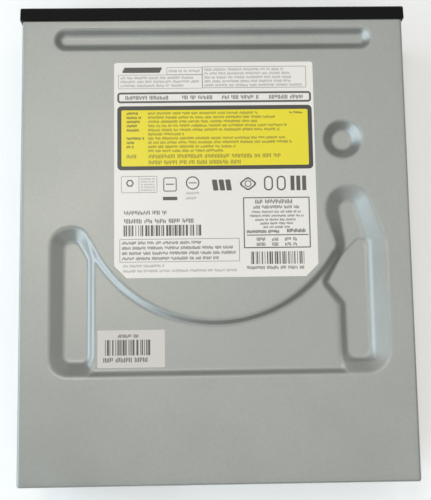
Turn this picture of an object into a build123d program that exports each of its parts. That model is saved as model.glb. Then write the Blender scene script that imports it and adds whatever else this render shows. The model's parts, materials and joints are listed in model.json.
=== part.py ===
"""Internal 5.25-inch half-height optical disc drive with a motorised tray.

Frame: +X to the user's right when facing the front panel, +Y towards the rear, +Z up.
The origin is at the middle of the drive's outline, on the plane of the front panel's bottom edge.
The tray is closed and the disc mechanism is raised, as in a drive that is idle. Millimetres.
"""
from build123d import *
from math import acos, asin, atan2, ceil, cos, degrees, hypot, pi, radians, sin, tan
import os

# ---- Driving dimensions: outline of the drive -------------------------------------------------
CASE_W = 146.05          # steel case width
CASE_H = 41.3            # steel case height
CASE_D = 175.0           # steel case depth
BEZEL_SIDE = 0.975       # how far the front panel stands out beyond each side of the case
BEZEL_RISE = 0.5         # the same, above and below the case
BEZEL_D = 5.0            # front panel depth, in front of the case
BEZEL_W = CASE_W + 2 * BEZEL_SIDE
BEZEL_H = CASE_H + 2 * BEZEL_RISE
SHEET = 0.8              # steel sheet thickness
GAP = 0.2                # general clearance between still pieces
RUN = 0.06               # radial running clearance of a shaft in a hole

FRONT = -(BEZEL_D + CASE_D) / 2
CASE_Y0 = FRONT + BEZEL_D
CASE_Y1 = CASE_Y0 + CASE_D
CASE_X = CASE_W / 2
CASE_Z0 = BEZEL_RISE
CASE_Z1 = CASE_Z0 + CASE_H
INNER_X = CASE_X - SHEET
FLOOR_Z = CASE_Z0 + SHEET            # top of the bottom cover
ROOF_Z = CASE_Z1 - SHEET             # underside of the top cover

# ---- Standard mounting holes ------------------------------------------------------------------
MOUNT_R = 1.25                       # M3 tapping hole
MOUNT_COLLAR_R = 2.1
MOUNT_COLLAR = 2.0                   # length of the drawn collar, inwards from the sheet's outside
MOUNT_Y0 = CASE_Y0 + 47.4
MOUNT_PITCH_Y = 79.25
MOUNT_SIDE_Z = (9.91, 21.84)         # above the bottom of the case
MOUNT_BOTTOM_X = 139.7 / 2

# ---- Stampings of the top cover ---------------------------------------------------------------
WALL_ANGLE = 45.0                    # slope of a stamped wall, from the vertical
DISC_Y = CASE_Y0 + 65.0              # spindle axis
STEP_DEPTH = 1.5                     # shallow field behind the disc circle
STEP_R = 50.5                        # radius of that circle
STEP_X = 50.0
STEP_Y = (DISC_Y + 25.3, DISC_Y + 70.4)
POCKET_DEPTH = 4.0
GROOVE_DEPTH = 2.4
GROOVE_X, GROOVE_Y = 60.7, (CASE_Y0 + 3.4, CASE_Y0 + 11.7)
DIMPLE_DEPTH, DIMPLE_R, DIMPLE_AT = 4.0, 7.2, (-48.6, DISC_Y - 18.0)
POCKET_Y1 = DISC_Y + 70.6
LEFT_POCKET_X = (44.8, 62.0)
LEFT_POCKET_Y0, LEFT_POCKET_CUT = DISC_Y + 15.4, 5.6   # front end, and the corner cut along the disc circle
RIGHT_POCKET_X = (-63.7, -45.2)
RIGHT_POCKET_Y0 = DISC_Y + 21.5
RIGHT_LOBE_R = 8.8
RIGHT_LOBE = ((-50.0, 9.0), (-54.0, 25.5))             # from here on, Y counts from the spindle axis
RIGHT_TIP = ((-44.6, 23.8), (-38.5, 35.2), (-39.3, 38.0), (-45.2, 45.0), (-56.0, 45.0), (-56.0, 23.8))

# ---- Labels -----------------------------------------------------------------------------------
LABEL_T = 0.12
LABEL_X = 37.9
LABEL_Y = (DISC_Y - 47.9, DISC_Y + 34.8)
LABEL_CUT = 4.6
STICKER_X = (19.4, 44.2)
STICKER_Y = (DISC_Y + 53.8, DISC_Y + 67.6)

# ---- Tray, its opening and its rails ----------------------------------------------------------
TRAVEL = 140.0                       # tray stroke
TRAY_X = 63.0                        # half width
TRAY_Z0 = 26.0                       # underside of the tray plate
TRAY_T = 5.0
TRAY_Y1 = CASE_Y1 - 10.0
DOOR_T = 3.0
OPENING_X, OPENING_Z = 65.0, (20.5, 35.5)
DOOR_GAP = 0.3
DISC_R = 60.0
SMALL_DISC_R = 40.0
DISC_SEAT_Z = TRAY_Z0 + 2.0
SMALL_SEAT_Z = TRAY_Z0 + 1.2
SLOT_X = 25.0                        # half width of the slot for the disc mechanism
TRAY_Y0 = FRONT + DOOR_T
DISC_Z = DISC_SEAT_Z + 2.0           # clamped disc, lifted off its seat

# ---- Gear train -------------------------------------------------------------------------------
MODULE = 1.0
ADDENDUM, DEDENDUM = 0.8 * MODULE, 1.05 * MODULE      # stub teeth
PRESSURE = radians(20)
BACKLASH = 0.12                      # taken off each tooth's thickness
PINION_N, IDLER_N, WHEEL_N, SMALL_N = 26, 14, 28, 14
PINION_AT = (40.0, CASE_Y0 + 19.0)
POST_R = 2.0
GEAR_FLOOR = (10.0, 12.0)            # frame floor under the gears
WHEEL_Z = (14.0, 17.5)               # large idler wheel and the pulley's gear
PINION_Z = (18.0, 25.6)
IDLER_Z1 = 21.6
PULLEY_Z = (18.3, 21.7)
PULLEY_R, MOTOR_PULLEY_R = 11.0, 3.05
BELT = 1.2                           # side of the square belt
BELT_SINK = 0.6                      # how deep the belt lies in a pulley
MOTOR_R, MOTOR_Z = 10.0, (6.6, 15.6)
MOTOR_X_GAP = 30.0                   # pulley axis to motor axis


def pitch_r(teeth):
    return MODULE * teeth / 2


IDLER_AT = (PINION_AT[0] - pitch_r(PINION_N) - pitch_r(IDLER_N), PINION_AT[1])
PULLEY_AT = (IDLER_AT[0] - pitch_r(WHEEL_N) - pitch_r(SMALL_N), PINION_AT[1])
MOTOR_AT = (PULLEY_AT[0] - MOTOR_X_GAP, PINION_AT[1] - 1.0)
RACK_X = PINION_AT[0] + pitch_r(PINION_N)
RACK_BODY = 3.4
RACK_Z0 = TRAY_Z0 - 3.4
BELT_R = PULLEY_R - BELT_SINK + BELT / 2
MOTOR_BELT_R = MOTOR_PULLEY_R - BELT_SINK + BELT / 2

# ---- Loader frame -----------------------------------------------------------------------------
FRAME_WALL = 3.5
FRAME_X = MOUNT_BOTTOM_X - MOUNT_COLLAR_R - GAP       # outer face of the side walls
FRAME_Y = (CASE_Y0 + 1.0, CASE_Y1 - 10.0)
FRAME_Z = (FLOOR_Z + 0.3, 33.8)
WALL_X = FRAME_X - FRAME_WALL
RAIL_IN = 5.8                        # how far the tray rails stand in from the wall
BOSS_R, SCREW_R = 3.4, 1.4
COVER_SCREWS = ((62.0, CASE_Y0 + 11.0), (64.0, CASE_Y1 - 16.0))

# ---- Lifting mechanism ------------------------------------------------------------------------
TILT = 5.0                           # degrees that the mechanism drops
PIVOT_Y, PIVOT_Z, PIVOT_R = DISC_Y + 82.0, 16.3, 2.0
LIFT_X, LIFT_Y = 50.0, (DISC_Y - 26.0, PIVOT_Y + 4.0)
LIFT_Z = (12.5, 15.5)
LIFT_BAR = 6.5
CAM_Y = (LIFT_Y[0] - 4.0, LIFT_Y[0] - 1.6)
CAM_X = (-42.0, 20.0)
CAM_Z = (2.0, 17.4)
CAM_STROKE = 24.0
CAM_PIN_R, CAM_PIN_X, CAM_PIN_Z = 1.3, (14.0, -14.0), 14.0
CAM_SLOT_GAP = 0.2
CAM_DROP = (PIVOT_Y - sum(CAM_Y) / 2) * sin(radians(TILT))

# ---- Disc mechanism ---------------------------------------------------------------------------
ROTOR_R, ROTOR_Z = 13.0, (18.8, 25.2)
SLED_TRAVEL = 34.0
LENS_Y = DISC_Y + ROTOR_R + 11.0
SLED_X, SLED_Y, SLED_Z = 22.0, (LENS_Y - 8.5, LENS_Y + 15.5), (15.0, 23.0)
FOLLOWER_Y = (SLED_Y[0] + 6.5, SLED_Y[0] + 16.5)      # of the half nut on the sled screw
BEARING_Y = (SLED_Y[0] + 5.5, SLED_Y[0] + 17.5)       # of the sled on its round rod
PLATE_Z = (17.0, 18.2)
PLATE_X = LIFT_X - LIFT_BAR - 1.5
WINDOW_Y1 = SLED_Y[1] + SLED_TRAVEL + 1.5             # rear end of the plate's window for the sled
PLATE_Y = (DISC_Y - ROTOR_R - 4.0, WINDOW_Y1 + 3.0)
DAMPER_X, DAMPER_Y, DAMPER_R, DAMPER_GROOVE_R = 38.0, (PLATE_Y[0] + 4.5, PLATE_Y[1] - 3.5), 4.0, 2.9
MAGNET_R = (ROTOR_R - 1.6, ROTOR_R - 0.8)
TABLE_R = 14.5
HUB_R, HUB_TOP = 7.4, DISC_Z + 2.0
SHAFT_R = 1.2
SLEEVE_R = 2.2                       # outside of the spindle's bearing sleeve
ROD_X, ROD_Z, ROD_R = 27.0, 21.0, 1.5
ROD_Y = (SLED_Y[0] - 3.5, BEARING_Y[1] + SLED_TRAVEL + 4.0)
SCREW_X, SCREW_Y = -35.5, (SLED_Y[0] + 1.5, FOLLOWER_Y[1] + SLED_TRAVEL + 1.5)
CLAMP_Z = (31.4, 34.2)
CLAMP_R, CLAMP_NECK_R = 15.5, 11.5
BRIDGE_Y = 16.0                      # half depth of the clamper's bridge
BRIDGE_T = 1.0
BRIDGE_Z = 36.2                      # underside of the bridge's raised middle
BRIDGE_X = (35.0, 39.0)              # where its shoulders start and end

# ---- Electronics ------------------------------------------------------------------------------
BOARD_T = 1.6
BOARD_X, BOARD_Y, BOARD_Z = 59.0, (DISC_Y + 32.0, CASE_Y1 - 1.4), 3.5
BOARD_TOP = BOARD_Z + BOARD_T
BOARD_SCREWS = ((-55.0, BOARD_Y[0] + 6.0), (55.0, BOARD_Y[0] + 6.0),
                (-55.0, BOARD_Y[1] - 4.6), (8.0, BOARD_Y[1] - 4.6))
FRONT_BOARD_Y = (CASE_Y0 + 2.0, CASE_Y0 + 31.0)
FRONT_BOARD_X = (-46.0, 63.0)
FRONT_BOARD_Z = 3.6
FRONT_BOARD_TOP = FRONT_BOARD_Z + BOARD_T
SATA_X, SATA_D, SATA_H = (17.0, 57.0), 10.0, 7.6
BUTTON_X, BUTTON_Z, BUTTON_W, BUTTON_H = 54.0, 9.0, 12.0, 5.0
BUTTON_GUIDE_Y = CASE_Y0 - 0.6       # rear end of the button's guide in the front panel
PRESS = 0.8                          # button stroke
LED_X, LED_R = 38.0, 1.3
RELEASE_X, RELEASE_R = 8.0, 0.75


# ---- Helpers ----------------------------------------------------------------------------------
def block(x, y, z):
    """A box from three (low, high) pairs."""
    size = [b - a for a, b in (x, y, z)]
    middle = [(a + b) / 2 for a, b in (x, y, z)]
    return Pos(*middle) * Box(*size)


def around(middle, half):
    return (middle - half, middle + half)


def post(at, z, r):
    """An upright cylinder between two heights."""
    return Pos(at[0], at[1], (z[0] + z[1]) / 2) * Cylinder(r, z[1] - z[0])


def cone(at, z, r0, r1):
    return Pos(at[0], at[1], (z[0] + z[1]) / 2) * Cone(r0, r1, z[1] - z[0])


def shaft_y(x, z, y, r):
    return Pos(x, (y[0] + y[1]) / 2, z) * Rot(90, 0, 0) * Cylinder(r, y[1] - y[0])


def shaft_x(y, z, x, r):
    return Pos((x[0] + x[1]) / 2, y, z) * Rot(0, 90, 0) * Cylinder(r, x[1] - x[0])


def both_sides(shape):
    """A shape and its mirror image across the middle plane."""
    return shape + mirror(shape, about=Plane.YZ)


def group(shapes):
    """Separate solids in one node."""
    return Compound(children=[s for shape in shapes for s in shape.solids()])


def slanted_slot(start, end, y, r):
    """A slot through an XZ plate, between two centres."""
    length = hypot(end[0] - start[0], end[1] - start[1])
    slope = degrees(atan2(end[1] - start[1], end[0] - start[0]))
    middle = Pos((start[0] + end[0]) / 2, sum(y) / 2, (start[1] + end[1]) / 2)
    bar = middle * Rot(0, -slope, 0) * Box(length, y[1] - y[0], 2 * r)
    return bar + shaft_y(start[0], start[1], y, r) + shaft_y(end[0], end[1], y, r)


def polar(r, angle):
    return (r * cos(angle), r * sin(angle))


def gear(at, z, teeth, bore, phase=0.0):
    """A spur gear with involute stub teeth; a tooth lies at the angle phase."""
    r_pitch = pitch_r(teeth)
    r_base, r_tip, r_root = r_pitch * cos(PRESSURE), r_pitch + ADDENDUM, r_pitch - DEDENDUM
    half_pitch = pi / (2 * teeth) - BACKLASH / (2 * r_pitch)

    def half_angle(r):
        a = acos(min(1.0, r_base / r))
        return half_pitch + (tan(PRESSURE) - PRESSURE) - (tan(a) - a)

    start = max(r_base, r_root)
    radii = [start + (r_tip - start) * k / 3 for k in range(4)]
    edges = []
    for k in range(teeth):
        middle = phase + 2 * pi * k / teeth
        after = middle + 2 * pi / teeth
        rising = [polar(r, middle - half_angle(r)) for r in radii]
        falling = [polar(r, middle + half_angle(r)) for r in reversed(radii)]
        foot = polar(r_root, middle + half_angle(start))
        next_foot = polar(r_root, after - half_angle(start))
        edges += [
            Spline(*rising),
            ThreePointArc(rising[-1], polar(r_tip, middle), falling[0]),
            Spline(*falling),
            Line(falling[-1], foot),
            ThreePointArc(foot, polar(r_root, middle + pi / teeth), next_foot),
            Line(next_foot, polar(start, after - half_angle(start))),
        ]
    face = make_face(Wire(edges))
    body = Pos(at[0], at[1], z[0]) * extrude(face, z[1] - z[0])
    return body - post(at, z, bore)


def belt_face(centre_a, r_a, centre_b, r_b):
    """The outline of a belt round two circles, as a face."""
    dx, dy = centre_b[0] - centre_a[0], centre_b[1] - centre_a[1]
    course = atan2(dy, dx)
    lean = acos((r_a - r_b) / hypot(dx, dy))

    def on(centre, r, angle):
        return (centre[0] + r * cos(angle), centre[1] + r * sin(angle))

    up, down = course + lean, course - lean
    a_up, a_down = on(centre_a, r_a, up), on(centre_a, r_a, down)
    b_up, b_down = on(centre_b, r_b, up), on(centre_b, r_b, down)
    return make_face(Wire([
        Line(a_up, b_up),
        ThreePointArc(b_up, on(centre_b, r_b, course), b_down),
        Line(b_down, a_down),
        ThreePointArc(a_down, on(centre_a, r_a, course + pi), a_up),
    ]))


def ribbon(points, thickness, x):
    """A flat cable of constant thickness that follows YZ points, extruded across x."""
    path = Polyline(*points)
    strip = Plane.YZ * make_face(offset(path, thickness / 2, side=Side.BOTH))
    return Pos(x[0], 0, 0) * extrude(strip, x[1] - x[0], dir=(1, 0, 0))


# ---- Steel case -------------------------------------------------------------------------------
def rounded_rect(x, y, radius, cut=0.0):
    """A rectangle face with rounded corners, and its front inner corner cut off by a slant."""
    face = Pos((x[0] + x[1]) / 2, (y[0] + y[1]) / 2) * RectangleRounded(x[1] - x[0], y[1] - y[0], radius)
    if cut:
        corner = Polyline((x[0], y[0]), (x[0] + cut, y[0]), (x[0], y[0] + 2.2 * cut), close=True)
        face -= make_face(corner)
    return face


def stamped(face, depth, grow=0.0):
    """The volume that a stamping pushes down from the top face; grow gives its underside."""
    shape = offset(face, grow) if grow else face
    return extrude(Pos(0, 0, CASE_Z1) * shape, amount=-(depth + (SHEET if grow else 0)), taper=WALL_ANGLE)


def stampings():
    """Each stamping of the top cover as (face, depth)."""
    disc = Pos(0, DISC_Y) * Circle(STEP_R)
    field = rounded_rect((-STEP_X, STEP_X), STEP_Y, 2.0) - disc
    groove = rounded_rect((-GROOVE_X, GROOVE_X), GROOVE_Y, (GROOVE_Y[1] - GROOVE_Y[0]) / 2 - 0.01)
    left = rounded_rect(LEFT_POCKET_X, (LEFT_POCKET_Y0, POCKET_Y1), 7.0, LEFT_POCKET_CUT)
    right = rounded_rect(RIGHT_POCKET_X, (RIGHT_POCKET_Y0, POCKET_Y1), 7.0)
    dimple = Pos(*DIMPLE_AT) * Circle(DIMPLE_R)
    (ax, ay), (bx, by) = RIGHT_LOBE
    lobe = Pos((ax + bx) / 2, DISC_Y + (ay + by) / 2) * Rot(0, 0, degrees(atan2(by - ay, bx - ax)))
    lobe = lobe * SlotCenterToCenter(hypot(bx - ax, by - ay), 2 * RIGHT_LOBE_R)
    tip = Pos(0, DISC_Y) * make_face(Polyline(*RIGHT_TIP, close=True))
    return [(field, STEP_DEPTH), (groove, GROOVE_DEPTH), (left, POCKET_DEPTH), (right, POCKET_DEPTH),
            (lobe, POCKET_DEPTH), (tip, POCKET_DEPTH), (dimple, DIMPLE_DEPTH)]


def side_mounts():
    """Places of the four side mounting holes of one side, as (y, z)."""
    return [(MOUNT_Y0 + k * MOUNT_PITCH_Y, CASE_Z0 + z) for k in (0, 1) for z in MOUNT_SIDE_Z]


LATCH_Y, LATCH_Z = (CASE_Y0 + 3.0, CASE_Y0 + 7.0), (15.0, 25.0)


def top_cover():
    shell = block(around(0, CASE_X), (CASE_Y0, CASE_Y1), (CASE_Z0, CASE_Z1))
    shell -= block(around(0, INNER_X), (CASE_Y0 - 1, CASE_Y1 - SHEET), (CASE_Z0 - 1, ROOF_Z))
    for face, depth in stampings():
        shell += stamped(face, depth, grow=SHEET / cos(radians(WALL_ANGLE)))
    for face, depth in stampings():
        shell -= stamped(face, depth)
    for y, z in side_mounts():
        shell += both_sides(shaft_x(y, z, (CASE_X - MOUNT_COLLAR, CASE_X), MOUNT_COLLAR_R))
        shell -= shaft_x(y, z, around(0, CASE_X + 1), MOUNT_R)
    shell -= block(around(0, CASE_X + 1), LATCH_Y, LATCH_Z)
    shell -= block((SATA_X[0] - 1, SATA_X[1] + 1), (CASE_Y1 - 2, CASE_Y1 + 1), (CASE_Z0 - 1, SATA_Z[1] + 0.6))
    return shell


def bottom_cover():
    """Flat plate with raised side flanges, board standoffs, and the bottom mounting holes."""
    edge = INNER_X - 0.1
    flange_top = FLOOR_Z + 5.0
    y = (CASE_Y0, CASE_Y1 - SHEET - 0.1)
    plate = block(around(0, edge), y, (CASE_Z0, flange_top))
    plate -= block(around(0, edge - SHEET), (y[0] - 1, y[1] + 1), (FLOOR_Z, flange_top + 1))
    for x in (-MOUNT_BOTTOM_X, MOUNT_BOTTOM_X):
        for k in (0, 1):
            at = (x, MOUNT_Y0 + k * MOUNT_PITCH_Y)
            plate += post(at, (CASE_Z0, CASE_Z0 + MOUNT_COLLAR), MOUNT_COLLAR_R)
            plate -= post(at, (CASE_Z0 - 1, flange_top + 1), MOUNT_R)
    for at in BOARD_SCREWS:
        plate += post(at, (FLOOR_Z, BOARD_Z), 2.8) - post(at, (FLOOR_Z, BOARD_Z), 1.1)
    for at in cover_screw_places():
        plate -= post(at, (CASE_Z0 - 1, FLOOR_Z + 1), SCREW_R + GAP)
    return plate


def cover_screw_places():
    return [(side * x, y) for x, y in COVER_SCREWS for side in (-1, 1)]


def screw(at, z_seat, length, head_r, shank_r, head_h, up):
    """A pan-head screw with a cross recess; up is 1 when its head is on top, -1 when below."""
    head_z = sorted((z_seat, z_seat + up * head_h))
    shank_z = sorted((z_seat, z_seat - up * length))
    recess = sorted((z_seat + up * head_h, z_seat + up * head_h * 0.4))
    body = post(at, head_z, head_r) + post(at, shank_z, shank_r)
    arm, slot = head_r * 0.6, head_r * 0.16
    cross = block(around(at[0], arm), around(at[1], slot), recess)
    cross += block(around(at[0], slot), around(at[1], arm), recess)
    return body - cross


def cover_screws():
    return group([screw(at, CASE_Z0, 7.0, 2.7, SCREW_R - 0.05, 0.45, -1) for at in cover_screw_places()])


def product_label():
    """Large label with its two rear corners cut off."""
    x, (y0, y1), cut = LABEL_X, LABEL_Y, LABEL_CUT
    outline = Polyline((-x, y0), (x, y0), (x, y1 - cut), (x - cut, y1),
                       (cut - x, y1), (-x, y1 - cut), close=True)
    face = fillet(make_face(outline).vertices(), 1.0)
    return Pos(0, 0, CASE_Z1) * extrude(face, LABEL_T)


def serial_sticker():
    z0 = CASE_Z1 - STEP_DEPTH
    return Pos(0, 0, z0) * extrude(rounded_rect(STICKER_X, STICKER_Y, 0.6), LABEL_T)


# ---- Front panel, button and tray door --------------------------------------------------------
def front_bezel():
    face_t = 2.4
    y = (FRONT, CASE_Y0)
    panel = block(around(0, BEZEL_W / 2), y, (0, BEZEL_H))
    panel = chamfer(panel.faces().sort_by(Axis.Y)[0].edges(), 0.6)
    panel -= block(around(0, BEZEL_W / 2 - 2.2), (FRONT + face_t, y[1] + 1), (1.8, BEZEL_H - 1.8))
    lip = block(around(0, OPENING_X + 1.2), (FRONT + 0.7, y[1]), (OPENING_Z[0] - 1.2, OPENING_Z[1] + 1.2))
    panel += lip
    panel -= block(around(0, OPENING_X), (FRONT - 1, y[1] + 1), OPENING_Z)
    guide = block(around(BUTTON_X, BUTTON_W / 2 + 1.2), (FRONT + 1, BUTTON_GUIDE_Y),
                  around(BUTTON_Z, BUTTON_H / 2 + 1.2))
    panel += guide
    panel -= block(around(BUTTON_X, BUTTON_W / 2 + GAP), (FRONT - 1, y[1] + 1),
                   around(BUTTON_Z, BUTTON_H / 2 + GAP))
    panel -= shaft_y(LED_X, BUTTON_Z, (FRONT - 1, y[1] + 1), LED_R + 0.05)
    panel -= shaft_y(RELEASE_X, BUTTON_Z, (FRONT - 1, y[1] + 1), RELEASE_R)
    tab_x = (INNER_X - 1.3, INNER_X - 0.15)
    tab = block(tab_x, (FRONT + face_t, LATCH_Y[1] + 2), (LATCH_Z[0] - 2, LATCH_Z[1] + 2))
    wedge = Polyline((tab_x[1], LATCH_Y[0] + 0.2), (CASE_X - 0.2, LATCH_Y[0] + 0.2),
                     (tab_x[1], LATCH_Y[1] - 0.2), close=True)
    tab += Pos(0, 0, LATCH_Z[0] + 0.3) * extrude(make_face(wedge), LATCH_Z[1] - LATCH_Z[0] - 0.6)
    return panel + both_sides(tab)


def eject_button():
    """Cap with a flange behind the front panel, and a stem that reaches the switch."""
    cap = block(around(BUTTON_X, BUTTON_W / 2), (FRONT, BUTTON_GUIDE_Y + 0.1), around(BUTTON_Z, BUTTON_H / 2))
    cap = chamfer(cap.faces().sort_by(Axis.Y)[0].edges(), 0.35)
    flange_y = (BUTTON_GUIDE_Y + 0.1, BUTTON_GUIDE_Y + 0.9)
    cap += block(around(BUTTON_X, BUTTON_W / 2 + 0.8), flange_y, around(BUTTON_Z, BUTTON_H / 2 + 0.8))
    return cap + block(around(BUTTON_X, 2.0), (flange_y[1], SWITCH_Y0 - PRESS - 0.1), around(BUTTON_Z, 1.5))


def tray_door():
    x = OPENING_X - DOOR_GAP
    z = (OPENING_Z[0] + DOOR_GAP, OPENING_Z[1] - DOOR_GAP)
    door = block(around(0, x), (FRONT, TRAY_Y0), z)
    return chamfer(door.faces().sort_by(Axis.Y)[0].edges(), 0.5)


# ---- Tray -------------------------------------------------------------------------------------
def tray():
    top = TRAY_Z0 + TRAY_T
    plate = block(around(0, TRAY_X), (TRAY_Y0, TRAY_Y1), (TRAY_Z0, top))
    plate = fillet(plate.edges().filter_by(Axis.Z).sort_by(Axis.Y)[-2:], 4.0)
    plate -= post((0, DISC_Y), (DISC_SEAT_Z, top + 1), DISC_R + 0.6)
    plate -= post((0, DISC_Y), (SMALL_SEAT_Z, top + 1), SMALL_DISC_R + 0.5)
    slot_z = (TRAY_Z0 - 1, top + 1)
    plate -= post((0, DISC_Y), slot_z, SLOT_X)
    plate -= block(around(0, SLOT_X), (DISC_Y, TRAY_Y1 + 1), slot_z)
    for x in (-1, 1):
        pocket_x = sorted((x * (SLOT_X + 2.5), x * (TRAY_X - 2.5)))
        plate -= block(pocket_x, (DISC_Y + DISC_R + 3, TRAY_Y1 - 6), (TRAY_Z0 + 1.6, top + 1))
    return plate + tray_rack()


def tray_rack():
    """The rack under the tray; a gap lies at the pinion's axis."""
    pitch = pi * MODULE
    y0, y1 = PINION_AT[1] - 12.0, TRAY_Y1 - 2.0
    half = pitch / 4 - BACKLASH / 2
    rise, fall = ADDENDUM * tan(PRESSURE), DEDENDUM * tan(PRESSURE)
    root = RACK_X + DEDENDUM
    points = [(RACK_X + RACK_BODY, y1), (RACK_X + RACK_BODY, y0), (root, y0)]
    k = ceil((y0 + pitch - PINION_AT[1]) / pitch - 0.5)
    while PINION_AT[1] + (k + 0.5) * pitch + pitch / 2 < y1:
        tooth = PINION_AT[1] + (k + 0.5) * pitch
        points += [(root, tooth - half - fall), (RACK_X - ADDENDUM, tooth - half + rise),
                   (RACK_X - ADDENDUM, tooth + half - rise), (root, tooth + half + fall)]
        k += 1
    points.append((root, y1))
    outline = make_face(Polyline(*points, close=True))
    return Pos(0, 0, RACK_Z0) * extrude(outline, TRAY_Z0 - RACK_Z0)


# ---- Gears, belt and loading motor ------------------------------------------------------------
def tray_pinion():
    return gear(PINION_AT, PINION_Z, PINION_N, POST_R + RUN)


def idler_gear():
    wheel = gear(IDLER_AT, WHEEL_Z, WHEEL_N, POST_R + RUN)
    small = gear(IDLER_AT, (WHEEL_Z[1], IDLER_Z1), IDLER_N, POST_R + RUN, phase=pi / IDLER_N)
    return wheel + small


def grooved_pulley(at, z, r, bore):
    """A pulley whose square groove takes the belt, halfway up."""
    middle = (z[0] + z[1]) / 2
    groove_z = around(middle, BELT / 2 + 0.1)
    groove = post(at, groove_z, r + 1) - post(at, groove_z, r - BELT_SINK - 0.05)
    return post(at, z, r) - groove - post(at, z, bore)


def pulley_gear():
    small = gear(PULLEY_AT, (WHEEL_Z[0], PULLEY_Z[0]), SMALL_N, POST_R + RUN, phase=pi / SMALL_N)
    return small + grooved_pulley(PULLEY_AT, PULLEY_Z, PULLEY_R, POST_R + RUN)


def motor_pulley():
    return grooved_pulley(MOTOR_AT, PULLEY_Z, MOTOR_PULLEY_R, 0.8)


def drive_belt():
    middle = sum(PULLEY_Z) / 2
    outer = belt_face(PULLEY_AT, BELT_R + BELT / 2, MOTOR_AT, MOTOR_BELT_R + BELT / 2)
    inner = belt_face(PULLEY_AT, BELT_R - BELT / 2, MOTOR_AT, MOTOR_BELT_R - BELT / 2)
    return Pos(0, 0, middle - BELT / 2) * extrude(outer - inner, BELT)


def loading_motor():
    can = post(MOTOR_AT, MOTOR_Z, MOTOR_R)
    can = fillet(can.edges().filter_by(GeomType.CIRCLE), 1.0)
    boss = post(MOTOR_AT, (MOTOR_Z[1], MOTOR_SEAT[1]), 3.0)
    shaft = post(MOTOR_AT, (MOTOR_SEAT[1], PULLEY_Z[1] - 0.4), 0.75)
    pins = [block(around(MOTOR_AT[0] + x, 0.4), around(MOTOR_AT[1], 0.6), (FRONT_BOARD_TOP, MOTOR_Z[0]))
            for x in (-4.0, 4.0)]
    return can + boss + shaft + pins[0] + pins[1]


def motor_screw_places():
    return [(MOTOR_AT[0], MOTOR_AT[1] + side * 7.0) for side in (-1, 1)]


def motor_screws():
    return group([screw(at, MOTOR_SEAT[1], 2.2, 1.6, 0.9, 0.7, 1) - post(at, (0, MOTOR_Z[1]), 2)
                  for at in motor_screw_places()])


MOTOR_SEAT = (MOTOR_Z[1], MOTOR_Z[1] + 1.6)
MOTOR_CUP_R = MOTOR_R + 2.2


# ---- Loader frame -----------------------------------------------------------------------------
def loader_frame():
    walls = both_sides(block((WALL_X, FRAME_X), FRAME_Y, FRAME_Z))
    floor = block(around(0, WALL_X), (FRONT_BOARD_Y[0] + 1.5, CAM_Y[0] - 1.2), GEAR_FLOOR)
    floor -= block(around(BUTTON_X, 4.0), (FRONT_BOARD_Y[0], SWITCH_Y0 + 5.2), GEAR_FLOOR)
    rear = block(around(0, WALL_X), (PIVOT_Y + 6.5, PIVOT_Y + 13.5), (14.0, 20.0))
    frame = walls + floor + rear
    rail = block((WALL_X - RAIL_IN, WALL_X), (FRAME_Y[0], FRAME_Y[1] - 4.0), (TRAY_Z0 - 1.5, TRAY_Z0 - 0.3))
    guide_z = (TRAY_Z0 + TRAY_T + 0.3, FRAME_Z[1] - 1.2)
    guide = block((WALL_X - 2.3, WALL_X), (FRAME_Y[0], FRAME_Y[1] - 4.0), guide_z)
    bearing = block((LIFT_X + 1.0, WALL_X), around(PIVOT_Y, 5.0), (PIVOT_Z - 6.3, PIVOT_Z + 4.5))
    bearing -= shaft_x(PIVOT_Y, PIVOT_Z, (LIFT_X, LIFT_X + 8.0), PIVOT_R + RUN)
    frame += both_sides(rail + guide + bearing)
    for at in cover_screw_places():
        frame += post(at, (FRAME_Z[0], 9.0), BOSS_R)
        frame -= post(at, (FRAME_Z[0], 8.4), SCREW_R)
    for at in bridge_screw_places():
        frame -= post(at, (FRAME_Z[1] - 5.0, FRAME_Z[1]), 0.95)
    frame += post(MOTOR_AT, (GEAR_FLOOR[0], MOTOR_SEAT[1]), MOTOR_CUP_R)
    frame -= post(MOTOR_AT, (GEAR_FLOOR[0] - 1, MOTOR_SEAT[0]), MOTOR_R + GAP)
    frame -= post(MOTOR_AT, MOTOR_SEAT, 3.0 + 0.1)
    for at in motor_screw_places():
        frame -= post(at, MOTOR_SEAT, 1.0)
    for at, seat, top in ((PINION_AT, PINION_Z[0], PINION_Z[1] - 0.3), (IDLER_AT, WHEEL_Z[0], IDLER_Z1 + 0.3),
                          (PULLEY_AT, WHEEL_Z[0], PULLEY_Z[1] + 0.3)):
        frame += post(at, (GEAR_FLOOR[1], seat - GAP), 3.4) + post(at, (GEAR_FLOOR[1], top), POST_R)
    for y, z in side_mounts():
        frame -= both_sides(shaft_x(y, z, (WALL_X, FRAME_X), 2.4))
    for x in CAM_GUIDES:
        frame += block(around(x, 2.5), (CAM_Y[0] - 1.4, CAM_Y[0] - GAP), (FRAME_Z[0], CAM_Z[1] + 1.4))
        frame += block(around(x, 2.5), (CAM_Y[0] - 1.4, CAM_Y[1] - 0.4), (CAM_Z[1] + GAP, CAM_Z[1] + 1.4))
    for at in BOARD_PEGS:
        frame += post(at, (FRONT_BOARD_TOP, GEAR_FLOOR[0]), 2.0)
    return frame


CAM_GUIDES = (-30.0, 0.0, 30.0)
# Pegs that carry the front board
BOARD_PEGS = ((-10.0, CASE_Y0 + 27.0), (20.0, CASE_Y0 + 7.0), (44.0, CASE_Y0 + 27.0))


def bridge_screw_places():
    return [(side * (FRAME_X - FRAME_WALL / 2), DISC_Y + dy) for side in (-1, 1) for dy in (-11.0, 11.0)]


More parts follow.
